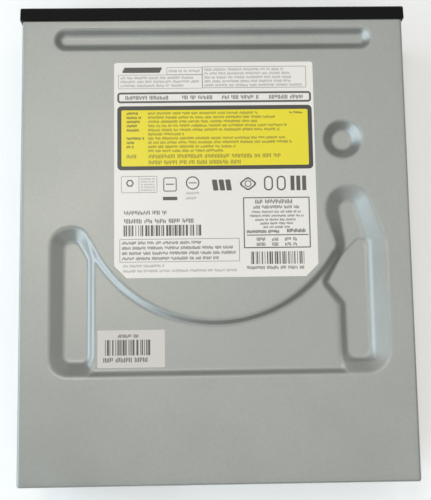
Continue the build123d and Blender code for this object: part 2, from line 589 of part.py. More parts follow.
# ---- Clamper ----------------------------------------------------------------------------------
def clamper_bridge():
    """Pressed steel bridge over the tray; its middle is raised over the clamper."""
    t, (x0, x1) = BRIDGE_T, BRIDGE_X
    low, high = FRAME_Z[1], BRIDGE_Z
    outline = Polyline((FRAME_X, low), (x1, low), (x0, high), (-x0, high), (-x1, low), (-FRAME_X, low),
                       (-FRAME_X, low + t), (-x1, low + t), (-x0, high + t), (x0, high + t), (x1, low + t),
                       (FRAME_X, low + t), close=True)
    plate = extrude(Plane.XZ * make_face(outline), 2 * BRIDGE_Y)
    plate = Pos(0, DISC_Y - plate.bounding_box().center().Y, 0) * plate
    plate -= post((0, DISC_Y), (low, high + t + 1), CLAMP_NECK_R + 1.0)
    for at in bridge_screw_places():
        plate -= post(at, (low, low + t), 1.2)
    return plate


def bridge_screws():
    seat = FRAME_Z[1] + BRIDGE_T
    return group([screw(at, seat, 4.5, 2.0, 0.9, 1.0, 1) for at in bridge_screw_places()])


def clamper():
    """Free disc that rests by its flange on the bridge and is pulled onto the hub."""
    at = (0, DISC_Y)
    top = BRIDGE_Z + BRIDGE_T
    body = post(at, CLAMP_Z, CLAMP_R) + post(at, (CLAMP_Z[1], top + 0.3), CLAMP_NECK_R)
    body += post(at, (top + 0.3, top + 1.3), CLAMP_NECK_R + 2.8)
    body -= post(at, (CLAMP_Z[0], CLAMP_Z[0] + 1.4), HUB_R + 0.8)
    return body - post(at, (CLAMP_Z[0] + 2.6, top + 2), 9.2)


def clamper_yoke():
    """Steel disc inside the clamper, which the hub's magnet attracts."""
    return post((0, DISC_Y), (CLAMP_Z[0] + 2.6, CLAMP_Z[0] + 3.8), 9.2)


# ---- Lifting frame and cam --------------------------------------------------------------------
def damper_places():
    return [(side * DAMPER_X, y) for side in (-1, 1) for y in DAMPER_Y]


def lift_frame():
    """Plastic ring that carries the disc mechanism on four dampers and turns on two rear pins."""
    ring = block(around(0, LIFT_X), LIFT_Y, LIFT_Z)
    ring -= block(around(0, LIFT_X - LIFT_BAR), (LIFT_Y[0] + LIFT_BAR, LIFT_Y[1] - LIFT_BAR), LIFT_Z)
    for at in damper_places():
        ring += post(at, LIFT_Z, 6.4)
        ring -= post(at, (LIFT_Z[0], LIFT_Z[1]), 0.95)
    ears = block((LIFT_X - 4.0, LIFT_X), around(PIVOT_Y, 4.0), (LIFT_Z[0], PIVOT_Z + 3.0))
    ears += shaft_x(PIVOT_Y, PIVOT_Z, (LIFT_X - 1.0, LIFT_X + 7.5), PIVOT_R)
    ring += both_sides(ears)
    for x in CAM_PIN_X:
        ring += block(around(x, 2.6), (LIFT_Y[0] - 1.2, LIFT_Y[0] + 1.0), LIFT_Z)
        ring += shaft_y(x, CAM_PIN_Z, (CAM_Y[0] - 0.1, LIFT_Y[0]), CAM_PIN_R)
    return ring


def cam_slider():
    """Sliding plate whose slanted slots raise and lower the front of the lifting frame."""
    plate = block(CAM_X, CAM_Y, CAM_Z)
    for x in CAM_PIN_X:
        end = (x - CAM_STROKE, CAM_PIN_Z - CAM_DROP)
        plate -= slanted_slot((x, CAM_PIN_Z), end, (CAM_Y[0] - 1, CAM_Y[1] + 1), CAM_PIN_R + CAM_SLOT_GAP)
    return plate


def dampers():
    """Four rubber grommets, each gripping the metal plate in its groove."""
    rings = []
    for at in damper_places():
        ring = post(at, (LIFT_Z[1], PLATE_Z[1] + 1.5), DAMPER_R)
        ring -= post(at, PLATE_Z, DAMPER_R + 1) - post(at, PLATE_Z, DAMPER_GROOVE_R)
        rings.append(ring - post(at, (LIFT_Z[1], PLATE_Z[1] + 1.5), 1.6))
    return group(rings)


def damper_screws():
    seat = PLATE_Z[1] + 1.5
    screws = []
    for at in damper_places():
        body = screw(at, seat, seat - LIFT_Z[1] + 2.4, 3.2, 0.9, 0.9, 1)
        screws.append(body + post(at, (LIFT_Z[1], seat), 1.5))
    return group(screws)


# ---- Disc mechanism ---------------------------------------------------------------------------
def base_plate():
    plate = block(around(0, PLATE_X), PLATE_Y, PLATE_Z)
    plate -= post((0, DISC_Y), PLATE_Z, ROTOR_R + 1.2)
    plate -= block(around(0, SLED_X + 2.6), (DISC_Y + 6.0, WINDOW_Y1), PLATE_Z)
    for at in damper_places():
        plate -= post(at, PLATE_Z, DAMPER_GROOVE_R)
    motor_x = around(SCREW_X, 5.0)
    plate -= block(motor_x, (SLED_MOTOR_Y[0] - 0.5, SLED_MOTOR_Y[1] + 0.5), PLATE_Z)
    for at in spindle_screw_places():
        plate -= post(at, PLATE_Z, 0.8)
    return plate


SLED_MOTOR_R = 4.5
SLED_MOTOR_Y = (SCREW_Y[0] - 13.8, SCREW_Y[0] - 0.8)
BRACKET_T = 0.8


def spindle_screw_places():
    r = ROTOR_R + 6.0
    return [(r * cos(a), DISC_Y + r * sin(a)) for a in (radians(200), radians(340))]


def spindle_base():
    """Steel plate of the spindle motor, under the base plate."""
    z = (PLATE_Z[0] - 1.0, PLATE_Z[0])
    plate = block(around(0, ROTOR_R + 8.5), (PLATE_Y[0] + 1.0, DISC_Y + 5.5), z)
    plate -= post((0, DISC_Y), z, SLEEVE_R)
    for at in spindle_screw_places():
        plate -= post(at, z, 0.95)
    return plate


def spindle_screws():
    """Short screws from above through the base plate."""
    return group([screw(at, PLATE_Z[1], 1.9, 1.3, 0.75, 0.5, 1) for at in spindle_screw_places()])


def spindle_bearing():
    at = (0, DISC_Y)
    sleeve = post(at, (PLATE_Z[0] - 1.0, ROTOR_Z[1] - 1.4), SLEEVE_R)
    return sleeve - post(at, (PLATE_Z[0] - 0.6, ROTOR_Z[1]), SHAFT_R + 0.03)


def spindle_stator():
    """Laminated core with nine wound poles."""
    at = (0, DISC_Y)
    z = (PLATE_Z[0] + 0.4, ROTOR_Z[1] - 2.2)
    middle = around(sum(z) / 2 + 0.6, 0.9)
    outer = MAGNET_R[0] - 0.1
    core = post(at, z, 4.4)
    for k in range(9):
        turn = Pos(0, DISC_Y, 0) * Rot(0, 0, 40 * k)
        core += turn * block((3.8, outer - 1.3), around(0, 0.9), middle)
        core += turn * block((outer - 1.9, outer - 0.1), around(0, 2.9), middle)
        core += turn * block((5.2, outer - 2.3), around(0, 1.5), (z[0] + 0.3, z[1]))
    core &= post(at, z, outer)
    return core - post(at, z, SLEEVE_R)


def rotor_cup():
    at = (0, DISC_Y)
    cup = post(at, ROTOR_Z, ROTOR_R) - post(at, (ROTOR_Z[0], ROTOR_Z[1] - 0.8), MAGNET_R[1])
    cup += post(at, (PLATE_Z[0] - 0.55, ROTOR_Z[1]), SHAFT_R)
    return cup


def rotor_magnet():
    at = (0, DISC_Y)
    z = (ROTOR_Z[0] + 0.4, ROTOR_Z[1] - 0.8)
    return post(at, z, MAGNET_R[1]) - post(at, z, MAGNET_R[0])


def turntable():
    """Plastic table with the hub that centres the disc."""
    at = (0, DISC_Y)
    table = post(at, (ROTOR_Z[1], DISC_Z - 0.4), TABLE_R)
    table -= post(at, (ROTOR_Z[1], DISC_Z - 2.4), TABLE_R - 2.5) - post(at, (ROTOR_Z[1], DISC_Z), 8.0)
    table += post(at, (DISC_Z - 0.4, DISC_Z + 0.9), HUB_R)
    table += cone(at, (DISC_Z + 0.9, HUB_TOP), HUB_R, HUB_R - 1.0)
    table -= post(at, (DISC_Z - 1.0, HUB_TOP), 5.0)
    return table


def hub_magnet():
    return post((0, DISC_Y), (DISC_Z - 1.0, HUB_TOP - 0.6), 5.0)


def turntable_pad():
    """Rubber ring that grips the disc."""
    at = (0, DISC_Y)
    return post(at, (DISC_Z - 0.4, DISC_Z), TABLE_R - 0.3) - post(at, (DISC_Z - 0.4, DISC_Z), TABLE_R - 3.2)


def guide_rods():
    return group([shaft_y(side * ROD_X, ROD_Z, ROD_Y, ROD_R) for side in (-1, 1)])


def rod_clips():
    """Four plastic blocks that hold the rods' ends on the base plate."""
    clips = []
    for side in (-1, 1):
        for y in ((ROD_Y[0], ROD_Y[0] + 3.0), (ROD_Y[1] - 3.0, ROD_Y[1])):
            clip = block(around(side * ROD_X, 3.2), y, (PLATE_Z[1], ROD_Z + ROD_R + 1.0))
            clips.append(clip - shaft_y(side * ROD_X, ROD_Z, y, ROD_R))
    return group(clips)


def sled_motor():
    body = shaft_y(SCREW_X, ROD_Z, SLED_MOTOR_Y, SLED_MOTOR_R)
    return body + shaft_y(SCREW_X, ROD_Z, (SLED_MOTOR_Y[0] - 0.8, SLED_MOTOR_Y[0]), 1.8)


def sled_bracket():
    """U-shaped steel bracket of the sled motor, with the far bearing of its screw."""
    x = around(SCREW_X, 4.2)
    y = (SLED_MOTOR_Y[1], SCREW_Y[1] + BRACKET_T)
    strip = block(x, y, (PLATE_Z[1], PLATE_Z[1] + BRACKET_T))
    ends = block(x, (y[0], y[0] + BRACKET_T), (PLATE_Z[1], ROD_Z + 3.6))
    ends += block(x, (y[1] - BRACKET_T, y[1]), (PLATE_Z[1], ROD_Z + 3.0))
    return strip + ends - shaft_y(SCREW_X, ROD_Z, y, ROD_R * 0.6 + RUN)


def lead_screw():
    thread = shaft_y(SCREW_X, ROD_Z, (SCREW_Y[0] + 0.1, SCREW_Y[1] - 0.1), ROD_R)
    journals = shaft_y(SCREW_X, ROD_Z, (SLED_MOTOR_Y[1] + 0.05, SCREW_Y[1] + BRACKET_T), ROD_R * 0.6)
    return thread + journals


# ---- Pickup -----------------------------------------------------------------------------------
ACTUATOR_X, ACTUATOR_Y = 9.0, (LENS_Y - 6.0, LENS_Y + 6.0)
ACTUATOR_FLOOR = 18.6
LENS_R = 2.3
HOLDER_X, HOLDER_Y = 5.6, 3.4
HOLDER_Z = (20.2, 24.6)


def pickup_body():
    """Die-cast sled with its two rod bearings and the actuator's well."""
    body = block(around(0, SLED_X), SLED_Y, SLED_Z)
    body -= block(around(0, ACTUATOR_X), ACTUATOR_Y, (ACTUATOR_FLOOR, SLED_Z[1]))
    bearing = block((-ROD_X - 3.0, -SLED_X), BEARING_Y, (PLATE_Z[1] + 0.3, ROD_Z + 2.5))
    fork_y = (SLED_Y[0] + 9.5, SLED_Y[0] + 13.5)
    fork = block((SLED_X, ROD_X + 3.0), fork_y, (PLATE_Z[1] + 0.4, ROD_Z + 2.4))
    fork -= block((ROD_X - 1.6, ROD_X + 4.0), fork_y, around(ROD_Z, ROD_R + 0.08))
    body += bearing + fork
    body -= shaft_y(-ROD_X, ROD_Z, BEARING_Y, ROD_R + RUN)
    return body


def pickup_cover():
    """Pressed steel cover over the actuator, with a window for the lens."""
    z = (SLED_Z[1], SLED_Z[1] + 0.4)
    cover = block(around(0, SLED_X - 4.0), (SLED_Y[0] + 0.5, SLED_Y[1] - 5.0), z)
    return cover - block(around(0, HOLDER_X + 1.2), around(LENS_Y, HOLDER_Y + 1.0), z)


def lens_holder():
    holder = block(around(0, HOLDER_X), around(LENS_Y, HOLDER_Y), HOLDER_Z)
    return holder - post((0, LENS_Y), (HOLDER_Z[1] - 1.4, HOLDER_Z[1]), LENS_R)


def objective_lens():
    """Aspheric lens, domed on top."""
    base = post((0, LENS_Y), (HOLDER_Z[1] - 1.4, HOLDER_Z[1] + 0.2), LENS_R)
    dome_r = 3.6
    centre_z = HOLDER_Z[1] + 0.9 - dome_r
    dome = Pos(0, LENS_Y, centre_z) * Sphere(dome_r) & post((0, LENS_Y), (HOLDER_Z[1], HOLDER_Z[1] + 2), 1.9)
    return base + dome


def actuator_magnets():
    z = (ACTUATOR_FLOOR, ACTUATOR_FLOOR + 4.0)
    front = block(around(0, 4.5), (ACTUATOR_Y[0], ACTUATOR_Y[0] + 1.8), z)
    rear = block(around(0, 4.5), (ACTUATOR_Y[1] - 1.8, ACTUATOR_Y[1]), z)
    return group([front, rear])


def rack_follower():
    """Half nut that rides on the lead screw."""
    half = block((SCREW_X + 0.2, -ROD_X - 3.0), FOLLOWER_Y, (PLATE_Z[1] + BRACKET_T + 0.2, ROD_Z + 2.2))
    return half - shaft_y(SCREW_X, ROD_Z, FOLLOWER_Y, ROD_R + 0.08)


def pickup_ribbon():
    """Flat cable of the pickup, under the sled and down to the main board."""
    z = LIFT_Z[1] - 0.9
    y = SOCKET_Y[0]
    return ribbon([(LENS_Y - 2, z), (y - 4.0, z), (y, z - 3.5), (y, BOARD_TOP + 3.0)], 0.3, around(6.0, 9.0))


# ---- Electronics ------------------------------------------------------------------------------
SATA_Z = (BOARD_TOP, BOARD_TOP + SATA_H)
SATA_Y = (CASE_Y1 - SATA_D, CASE_Y1 - 0.1)
SATA_WALL, TONGUE_T = 1.4, 1.2
SATA_POWER_W, SATA_DATA_W = 22.4, 12.2
SWITCH_Y0 = FRONT_BOARD_Y[0] + 3.2
SOCKET_Y = (BOARD_Y[0] + 44.0, BOARD_Y[0] + 12.5)     # sockets of the disc mechanism and the front board


def main_board():
    board = block(around(0, BOARD_X), BOARD_Y, (BOARD_Z, BOARD_TOP))
    for at in BOARD_SCREWS:
        board -= post(at, (BOARD_Z, BOARD_TOP), 1.3)
    return board


def board_screws():
    return group([screw(at, BOARD_TOP, 3.2, 2.4, 1.05, 1.0, 1) for at in BOARD_SCREWS])


def chip(x, y, height):
    """A square package on the main board, with its edge chamfered."""
    body = block(x, y, (BOARD_TOP, BOARD_TOP + height))
    return chamfer(body.faces().sort_by(Axis.Z)[-1].edges(), 0.2)


def chips():
    """Controller, motor driver and two memories."""
    places = (((-18.0, 10.0), (28.0, 10.0), 1.2), ((28.0, 7.0), (22.0, 6.0), 1.2),
              ((-44.0, 4.5), (22.0, 6.0), 1.0), ((-2.0, 3.5), (56.0, 4.0), 0.9))
    return group([chip(around(x, half), around(BOARD_Y[0] + y, deep), height)
                  for (x, half), (y, deep), height in places])


def capacitors():
    """Round electrolytic capacitors behind the connector."""
    y = BOARD_Y[0] + 58.0
    return group([post((x, y), (BOARD_TOP, BOARD_TOP + 2.2), 3.0) for x in (24.0, 34.0, 44.0, -30.0)])


def ribbon_sockets():
    """Flat cable sockets of the disc mechanism and the front board."""
    places = (((6.0, 10.5), (SOCKET_Y[0], 2.6)), ((50.0, 5.0), (SOCKET_Y[1], 2.2)))
    return group([block(around(x, half), around(y, deep), (BOARD_TOP, BOARD_TOP + 2.0))
                  for (x, half), (y, deep) in places])


def sata_mouths():
    """The two mouths of the connector as (x range), data next to power."""
    power = (SATA_X[0] + SATA_WALL, SATA_X[0] + SATA_WALL + SATA_POWER_W)
    data = (SATA_X[1] - SATA_WALL - SATA_DATA_W, SATA_X[1] - SATA_WALL)
    return power, data


def sata_connector():
    body = block(SATA_X, SATA_Y, SATA_Z)
    for x in sata_mouths():
        mouth = (SATA_Z[0] + SATA_WALL, SATA_Z[1] - SATA_WALL)
        cavity = block(x, (SATA_Y[0] + 2.0, SATA_Y[1] + 1), mouth)
        tongue = block((x[0] + 1.2, x[1] - 1.2), (SATA_Y[0] + 2.0, SATA_Y[1] - 1.0), tongue_z())
        body = body - cavity + tongue
    return body


def tongue_z():
    return around((SATA_Z[0] + SATA_Z[1]) / 2, TONGUE_T / 2)


def sata_contacts():
    """Fifteen power and seven data contacts on the tongues."""
    strips = []
    for (x0, x1), count in zip(sata_mouths(), (15, 7)):
        pitch = 1.27
        first = (x0 + x1) / 2 - pitch * (count - 1) / 2
        for k in range(count):
            z = (tongue_z()[1], tongue_z()[1] + 0.12)
            strips.append(block(around(first + k * pitch, 0.35), (SATA_Y[0] + 2.0, SATA_Y[1] - 1.6), z))
    return group(strips)


def front_board():
    board = block(FRONT_BOARD_X, FRONT_BOARD_Y, (FRONT_BOARD_Z, FRONT_BOARD_TOP))
    for at in cover_screw_places():
        board -= post(at, (FRONT_BOARD_Z, FRONT_BOARD_TOP), BOSS_R + 0.4)
    return board


def eject_switch():
    """Side-pressed switch on the front board."""
    body = block(around(BUTTON_X, 3.0), (SWITCH_Y0 + 0.6, SWITCH_Y0 + 4.6), (FRONT_BOARD_TOP, BUTTON_Z + 2.0))
    return body + shaft_y(BUTTON_X, BUTTON_Z, (SWITCH_Y0, SWITCH_Y0 + 0.6), 1.0)


def status_led():
    x = around(LED_X, 1.6)
    return block(x, (FRONT_BOARD_Y[0] + 0.6, FRONT_BOARD_Y[0] + 2.2), (FRONT_BOARD_TOP, BUTTON_Z + 0.8))


def light_pipe():
    """Clear rod from the lamp to the front panel's window."""
    pipe = shaft_y(LED_X, BUTTON_Z, (FRONT, FRONT_BOARD_Y[0] + 0.5), LED_R)
    return pipe + shaft_y(LED_X, BUTTON_Z, (CASE_Y0 + 0.2, CASE_Y0 + 1.2), LED_R + 0.9)


def front_ribbon():
    """Flat cable from the front board to the main board, along the bottom cover."""
    z = FLOOR_Z + 0.3
    front_y = FRONT_BOARD_Y[1] + 0.8
    path = [(front_y, FRONT_BOARD_TOP), (front_y + 0.4, z), (BOARD_Y[0] - 3.0, z),
            (BOARD_Y[0] - 1.4, BOARD_TOP + 1.2), (SOCKET_Y[1] - 2.5, BOARD_TOP + 1.2)]
    return ribbon(path, 0.2, around(50.0, 4.0))


NODES = {
    "top_cover": top_cover, "bottom_cover": bottom_cover, "cover_screws": cover_screws,
    "product_label": product_label, "serial_sticker": serial_sticker,
    "front_bezel": front_bezel, "eject_button": eject_button, "tray_door": tray_door, "tray": tray,
    "tray_pinion": tray_pinion, "idler_gear": idler_gear, "pulley_gear": pulley_gear,
    "motor_pulley": motor_pulley, "drive_belt": drive_belt, "loading_motor": loading_motor,
    "motor_screws": motor_screws, "loader_frame": loader_frame,
    "clamper_bridge": clamper_bridge, "bridge_screws": bridge_screws, "clamper": clamper,
    "clamper_yoke": clamper_yoke, "lift_frame": lift_frame, "cam_slider": cam_slider,
    "dampers": dampers, "damper_screws": damper_screws, "base_plate": base_plate,
    "spindle_base": spindle_base, "spindle_screws": spindle_screws, "spindle_bearing": spindle_bearing,
    "spindle_stator": spindle_stator, "rotor_cup": rotor_cup, "rotor_magnet": rotor_magnet,
    "turntable": turntable, "hub_magnet": hub_magnet, "turntable_pad": turntable_pad,
    "guide_rods": guide_rods, "rod_clips": rod_clips, "sled_motor": sled_motor,
    "sled_bracket": sled_bracket, "lead_screw": lead_screw, "pickup_body": pickup_body,
    "pickup_cover": pickup_cover, "lens_holder": lens_holder, "objective_lens": objective_lens,
    "actuator_magnets": actuator_magnets, "rack_follower": rack_follower, "pickup_ribbon": pickup_ribbon,
    "main_board": main_board, "board_screws": board_screws, "chips": chips, "capacitors": capacitors,
    "ribbon_sockets": ribbon_sockets, "sata_connector": sata_connector, "sata_contacts": sata_contacts,
    "front_board": front_board, "eject_switch": eject_switch, "status_led": status_led,
    "light_pipe": light_pipe,
    "front_ribbon": front_ribbon,
}

os.makedirs("parts", exist_ok=True)
for name, make in NODES.items():
    export_step(make(), f"parts/{name}.step")
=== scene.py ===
import json
from math import atan2, cos, pi, radians, sin
from random import Random

import bmesh
import bpy
import numpy as np
from mathutils import Matrix, Vector


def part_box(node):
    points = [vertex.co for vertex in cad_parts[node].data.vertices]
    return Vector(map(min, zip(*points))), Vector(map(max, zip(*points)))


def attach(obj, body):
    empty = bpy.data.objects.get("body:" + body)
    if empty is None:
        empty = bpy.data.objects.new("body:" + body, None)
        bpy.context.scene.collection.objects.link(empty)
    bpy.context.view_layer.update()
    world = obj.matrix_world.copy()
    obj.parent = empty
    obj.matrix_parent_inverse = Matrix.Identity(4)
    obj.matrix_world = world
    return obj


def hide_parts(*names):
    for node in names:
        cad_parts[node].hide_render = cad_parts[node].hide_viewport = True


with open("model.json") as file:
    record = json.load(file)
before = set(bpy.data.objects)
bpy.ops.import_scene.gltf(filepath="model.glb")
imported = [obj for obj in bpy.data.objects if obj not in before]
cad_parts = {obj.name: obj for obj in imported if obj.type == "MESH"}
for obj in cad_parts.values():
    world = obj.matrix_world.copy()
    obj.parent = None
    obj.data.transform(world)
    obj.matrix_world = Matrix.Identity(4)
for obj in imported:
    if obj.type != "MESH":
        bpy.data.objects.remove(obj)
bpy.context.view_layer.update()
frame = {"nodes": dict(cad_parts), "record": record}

MM = 0.001


def node_box(name):
    """Lowest and highest corner of a CAD node, in millimetres."""
    low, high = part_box(name)
    return np.array(low) / MM, np.array(high) / MM


CASE_LOW, CASE_HIGH = node_box("top_cover")
LABEL_LOW, LABEL_HIGH = node_box("product_label")
STICKER_LOW, STICKER_HIGH = node_box("serial_sticker")
TOP_Z = CASE_HIGH[2]
SIDE_X = CASE_HIGH[0]
FRONT_Y, REAR_Y = CASE_LOW[1], CASE_HIGH[1]
SHEET = 0.8
BEND_R = 1.0
BEND_STEPS, CORNER_STEPS = 5, 6        # facets of the top's bent edges, and of the upright rear corners
MERGE_GAP = 0.001                    # points nearer than this are one point
BEVEL_ANGLE = 35.0                   # degrees between two faces, above which their edge is rounded
FLAT_ANGLE = 0.5                     # degrees between two faces, below which they are one face


# ---- Meshes -----------------------------------------------------------------------------------
def finish_piece(piece, body, material, replaces=()):
    """Puts a new piece on its body and material."""
    piece.data.materials.clear()
    piece.data.materials.append(material)
    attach(piece, body)
    if replaces:
        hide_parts(*replaces)


def mesh_piece(name, points, faces, smooth=False):
    """A mesh object from points in millimetres."""
    mesh = bpy.data.meshes.new(name)
    mesh.from_pydata([tuple(float(c) * MM for c in p) for p in points], [], faces)
    if smooth:
        mesh.shade_smooth()
    piece = bpy.data.objects.new(name, mesh)
    bpy.context.scene.collection.objects.link(piece)
    return piece


def clean(piece):
    """Merges doubled points and turns every face outwards."""
    work = bmesh.new()
    work.from_mesh(piece.data)
    bmesh.ops.remove_doubles(work, verts=work.verts, dist=MERGE_GAP * MM)
    bmesh.ops.recalc_face_normals(work, faces=work.faces)
    work.to_mesh(piece.data)
    work.free()
    return piece


def bevelled(piece, width):
    """Rounded edges, wherever two faces meet at more than BEVEL_ANGLE."""
    bevel = piece.modifiers.new("edges", "BEVEL")
    bevel.width = width * MM
    bevel.segments = 3
    bevel.limit_method = "ANGLE"
    bevel.angle_limit = radians(BEVEL_ANGLE)
    bevel.use_clamp_overlap = True
    bevel.harden_normals = False


def box_points(x, y, z):
    """The eight corners and six faces of a closed box."""
    points = [(a, b, c) for a in x for b in y for c in z]
    faces = [(0, 1, 3, 2), (4, 6, 7, 5), (0, 4, 5, 1), (2, 3, 7, 6), (0, 2, 6, 4), (1, 5, 7, 3)]
    return points, faces


def joined(solids):
    """One list of points and faces from several."""
    points, faces = [], []
    for some_points, some_faces in solids:
        start = len(points)
        points += some_points
        faces += [tuple(i + start for i in face) for face in some_faces]
    return points, faces


def prism(outline, z):
    """A closed solid from an outline in plan, between two heights."""
    count = len(outline)
    points = [(x, y, level) for level in z for x, y in outline]
    faces = [tuple(range(count))[::-1], tuple(range(count, 2 * count))]
    faces += [(i, (i + 1) % count, count + (i + 1) % count, count + i) for i in range(count)]
    return points, faces


def ring(outer, inner, z):
    """A closed frame between two outlines with the same number of points."""
    count = len(outer)
    points = [(x, y, level) for level in z for loop in (outer, inner) for x, y in loop]
    faces = []
    for i in range(count):
        j = (i + 1) % count
        low_out, low_in, top_out, top_in = 0, count, 2 * count, 3 * count
        faces.append((top_out + i, top_out + j, top_in + j, top_in + i))
        faces.append((low_out + j, low_out + i, low_in + i, low_in + j))
        faces.append((low_out + i, low_out + j, top_out + j, top_out + i))
        faces.append((low_in + j, low_in + i, top_in + i, top_in + j))
    return points, faces


def rounded(corners, steps=7):
    """An outline whose corners (x, y, radius) are rounded with arcs."""
    outline = []
    count = len(corners)
    for i in range(count):
        here = np.array(corners[i][:2], float)
        before = np.array(corners[i - 1][:2], float) - here
        after = np.array(corners[(i + 1) % count][:2], float) - here
        radius = corners[i][2]
        a, b = before / np.linalg.norm(before), after / np.linalg.norm(after)
        half = np.arccos(np.clip(a @ b, -1, 1)) / 2
        middle = (a + b) / np.linalg.norm(a + b)
        centre = here + middle * radius / sin(half)
        start, end = here + a * radius / np.tan(half), here + b * radius / np.tan(half)
        first = atan2(*(start - centre)[::-1])
        turn = (atan2(*(end - centre)[::-1]) - first + pi) % (2 * pi) - pi
        for k in range(steps + 1):
            angle = first + turn * k / steps
            outline.append((centre[0] + radius * cos(angle), centre[1] + radius * sin(angle)))
    return outline


def rounded_box(x0, x1, y0, y1, radius, steps=7):
    corners = ((x0, y0), (x1, y0), (x1, y1), (x0, y1))
    return rounded([(x, y, radius) for x, y in corners], steps)


def circle(at, radius, steps):
    turns = [2 * pi * k / steps for k in range(steps)]
    return [(at[0] + radius * cos(t), at[1] + radius * sin(t)) for t in turns]


def plate(name, outline, holes, thickness, place):
    """A sheet with holes. place turns (u, v, depth below the outside) into x, y, z."""
    curve = bpy.data.curves.new(name, "CURVE")
    curve.dimensions = "2D"
    curve.fill_mode = "BOTH"
    curve.extrude = thickness / 2
    for loop in [outline] + holes:
        spline = curve.splines.new("POLY")
        spline.points.add(len(loop) - 1)
        for point, (u, v) in zip(spline.points, loop):
            point.co = (u, v, 0, 1)
        spline.use_cyclic_u = True
    carrier = bpy.data.objects.new(name, curve)
    mesh = bpy.data.meshes.new_from_object(carrier)
    bpy.data.objects.remove(carrier)
    bpy.data.curves.remove(curve)
    for vertex in mesh.vertices:
        u, v, w = vertex.co
        vertex.co = Vector(place(u, v, thickness / 2 - w)) * MM
    piece = bpy.data.objects.new(name, mesh)
    bpy.context.scene.collection.objects.link(piece)
    return clean(piece)


def lathe(profile, place, steps):
    """A turned ring. profile is a loop of (radius, along); place turns (a, b, along) into x, y, z."""
    count = len(profile)
    points, faces = [], []
    for k in range(steps):
        t = 2 * pi * k / steps
        points += [place(r * cos(t), r * sin(t), s) for r, s in profile]
    for k in range(steps):
        a, b = k * count, (k + 1) % steps * count
        for i in range(count):
            j = (i + 1) % count
            faces.append((a + i, a + j, b + j, b + i))
    return points, faces


# ---- Materials --------------------------------------------------------------------------------
def shader(name, metallic=0.0, roughness=0.5, **sockets):
    """A material and its Principled shader, with values set on the shader's own sockets."""
    material = bpy.data.materials.new(name)
    material.use_nodes = True
    principled = material.node_tree.nodes["Principled BSDF"]
    principled.inputs["Metallic"].default_value = metallic
    principled.inputs["Roughness"].default_value = roughness
    for socket, value in sockets.items():
        principled.inputs[socket.replace("_", " ")].default_value = value
    return material, principled


def add(material, kind, **settings):
    made = material.node_tree.nodes.new(kind)
    for key, value in settings.items():
        setattr(made, key, value)
    return made


def link(material, source, target):
    material.node_tree.links.new(source, target)


def place_of(material, stretch=(1, 1, 1)):
    """Object coordinates, stretched along the axes."""
    where = add(material, "ShaderNodeTexCoord")
    mapping = add(material, "ShaderNodeMapping")
    mapping.inputs["Scale"].default_value = stretch
    link(material, where.outputs["Object"], mapping.inputs["Vector"])
    return mapping.outputs["Vector"]


def noise(material, size, detail=3.0, stretch=(1, 1, 1)):
    """Noise whose features are about size millimetres across."""
    made = add(material, "ShaderNodeTexNoise")
    made.inputs["Scale"].default_value = 1.0 / (size * MM)
    made.inputs["Detail"].default_value = detail
    made.inputs["Roughness"].default_value = 0.55
    link(material, place_of(material, stretch), made.inputs["Vector"])
    return made.outputs["Fac"]


def cells(material, size):
    """Distance from the middle of cells that are about size millimetres across."""
    made = add(material, "ShaderNodeTexVoronoi", feature="F1")
    made.inputs["Scale"].default_value = 1.0 / (size * MM)
    link(material, place_of(material), made.inputs["Vector"])
    return made.outputs["Distance"]


def ramp(material, value, stops):
    """A colour for each value; stops are (place, colour)."""
    made = add(material, "ShaderNodeValToRGB")
    while len(made.color_ramp.elements) < len(stops):
        made.color_ramp.elements.new(0.5)
    for element, (where, colour) in zip(made.color_ramp.elements, stops):
        element.position = where
        element.color = (*colour, 1)
    link(material, value, made.inputs["Fac"])
    return made.outputs["Color"]


def multiplied(material, a, b):
    """One colour multiplied by another."""
    made = add(material, "ShaderNodeMix", data_type="RGBA", blend_type="MULTIPLY")
    made.inputs["Factor"].default_value = 1.0
    for socket, source in (("A", a), ("B", b)):
        link(material, source, next(s for s in made.inputs if s.name == socket and s.type == "RGBA"))
    return next(s for s in made.outputs if s.type == "RGBA")


def spread(material, value, low, high, start=0.3, end=0.7):
    """A value squeezed into a range."""
    made = add(material, "ShaderNodeMapRange")
    made.inputs["From Min"].default_value = start
    made.inputs["From Max"].default_value = end
    made.inputs["To Min"].default_value = low
    made.inputs["To Max"].default_value = high
    link(material, value, made.inputs["Value"])
    return made.outputs["Result"]


def bump(material, principled, height, distance, strength):
    """Bump of a real height, in millimetres."""
    made = add(material, "ShaderNodeBump")
    made.inputs["Strength"].default_value = strength
    made.inputs["Distance"].default_value = distance * MM
    link(material, height, made.inputs["Height"])
    link(material, made.outputs["Normal"], principled.inputs["Normal"])


def tint(colour, factor):
    """A colour made lighter or darker."""
    return tuple(min(1.0, c * factor) for c in colour)


def galvanised():
    """Zinc-plated sheet: a fine satin grain, faint spangle and a few handling smudges."""
    material, principled = shader("galvanised_steel", metallic=0.92)
    base = (0.435, 0.45, 0.435)
    grain = noise(material, 0.35, detail=2.0)
    broad = noise(material, 38.0, detail=2.0)
    colour = ramp(material, grain, [(0.3, tint(base, 0.93)), (0.7, tint(base, 1.06))])
    spangle = ramp(material, cells(material, 2.6), [(0.0, (0.98, 0.98, 0.98)), (0.7, (1, 1, 1))])
    colour = multiplied(material, colour, spangle)
    smudge = ramp(material, broad, [(0.35, (0.93, 0.93, 0.93)), (0.65, (1.0, 1.0, 1.0))])
    colour = multiplied(material, colour, smudge)
    link(material, colour, principled.inputs["Base Color"])
    link(material, spread(material, broad, 0.40, 0.47), principled.inputs["Roughness"])
    bump(material, principled, grain, 0.018, 0.6)
    return material


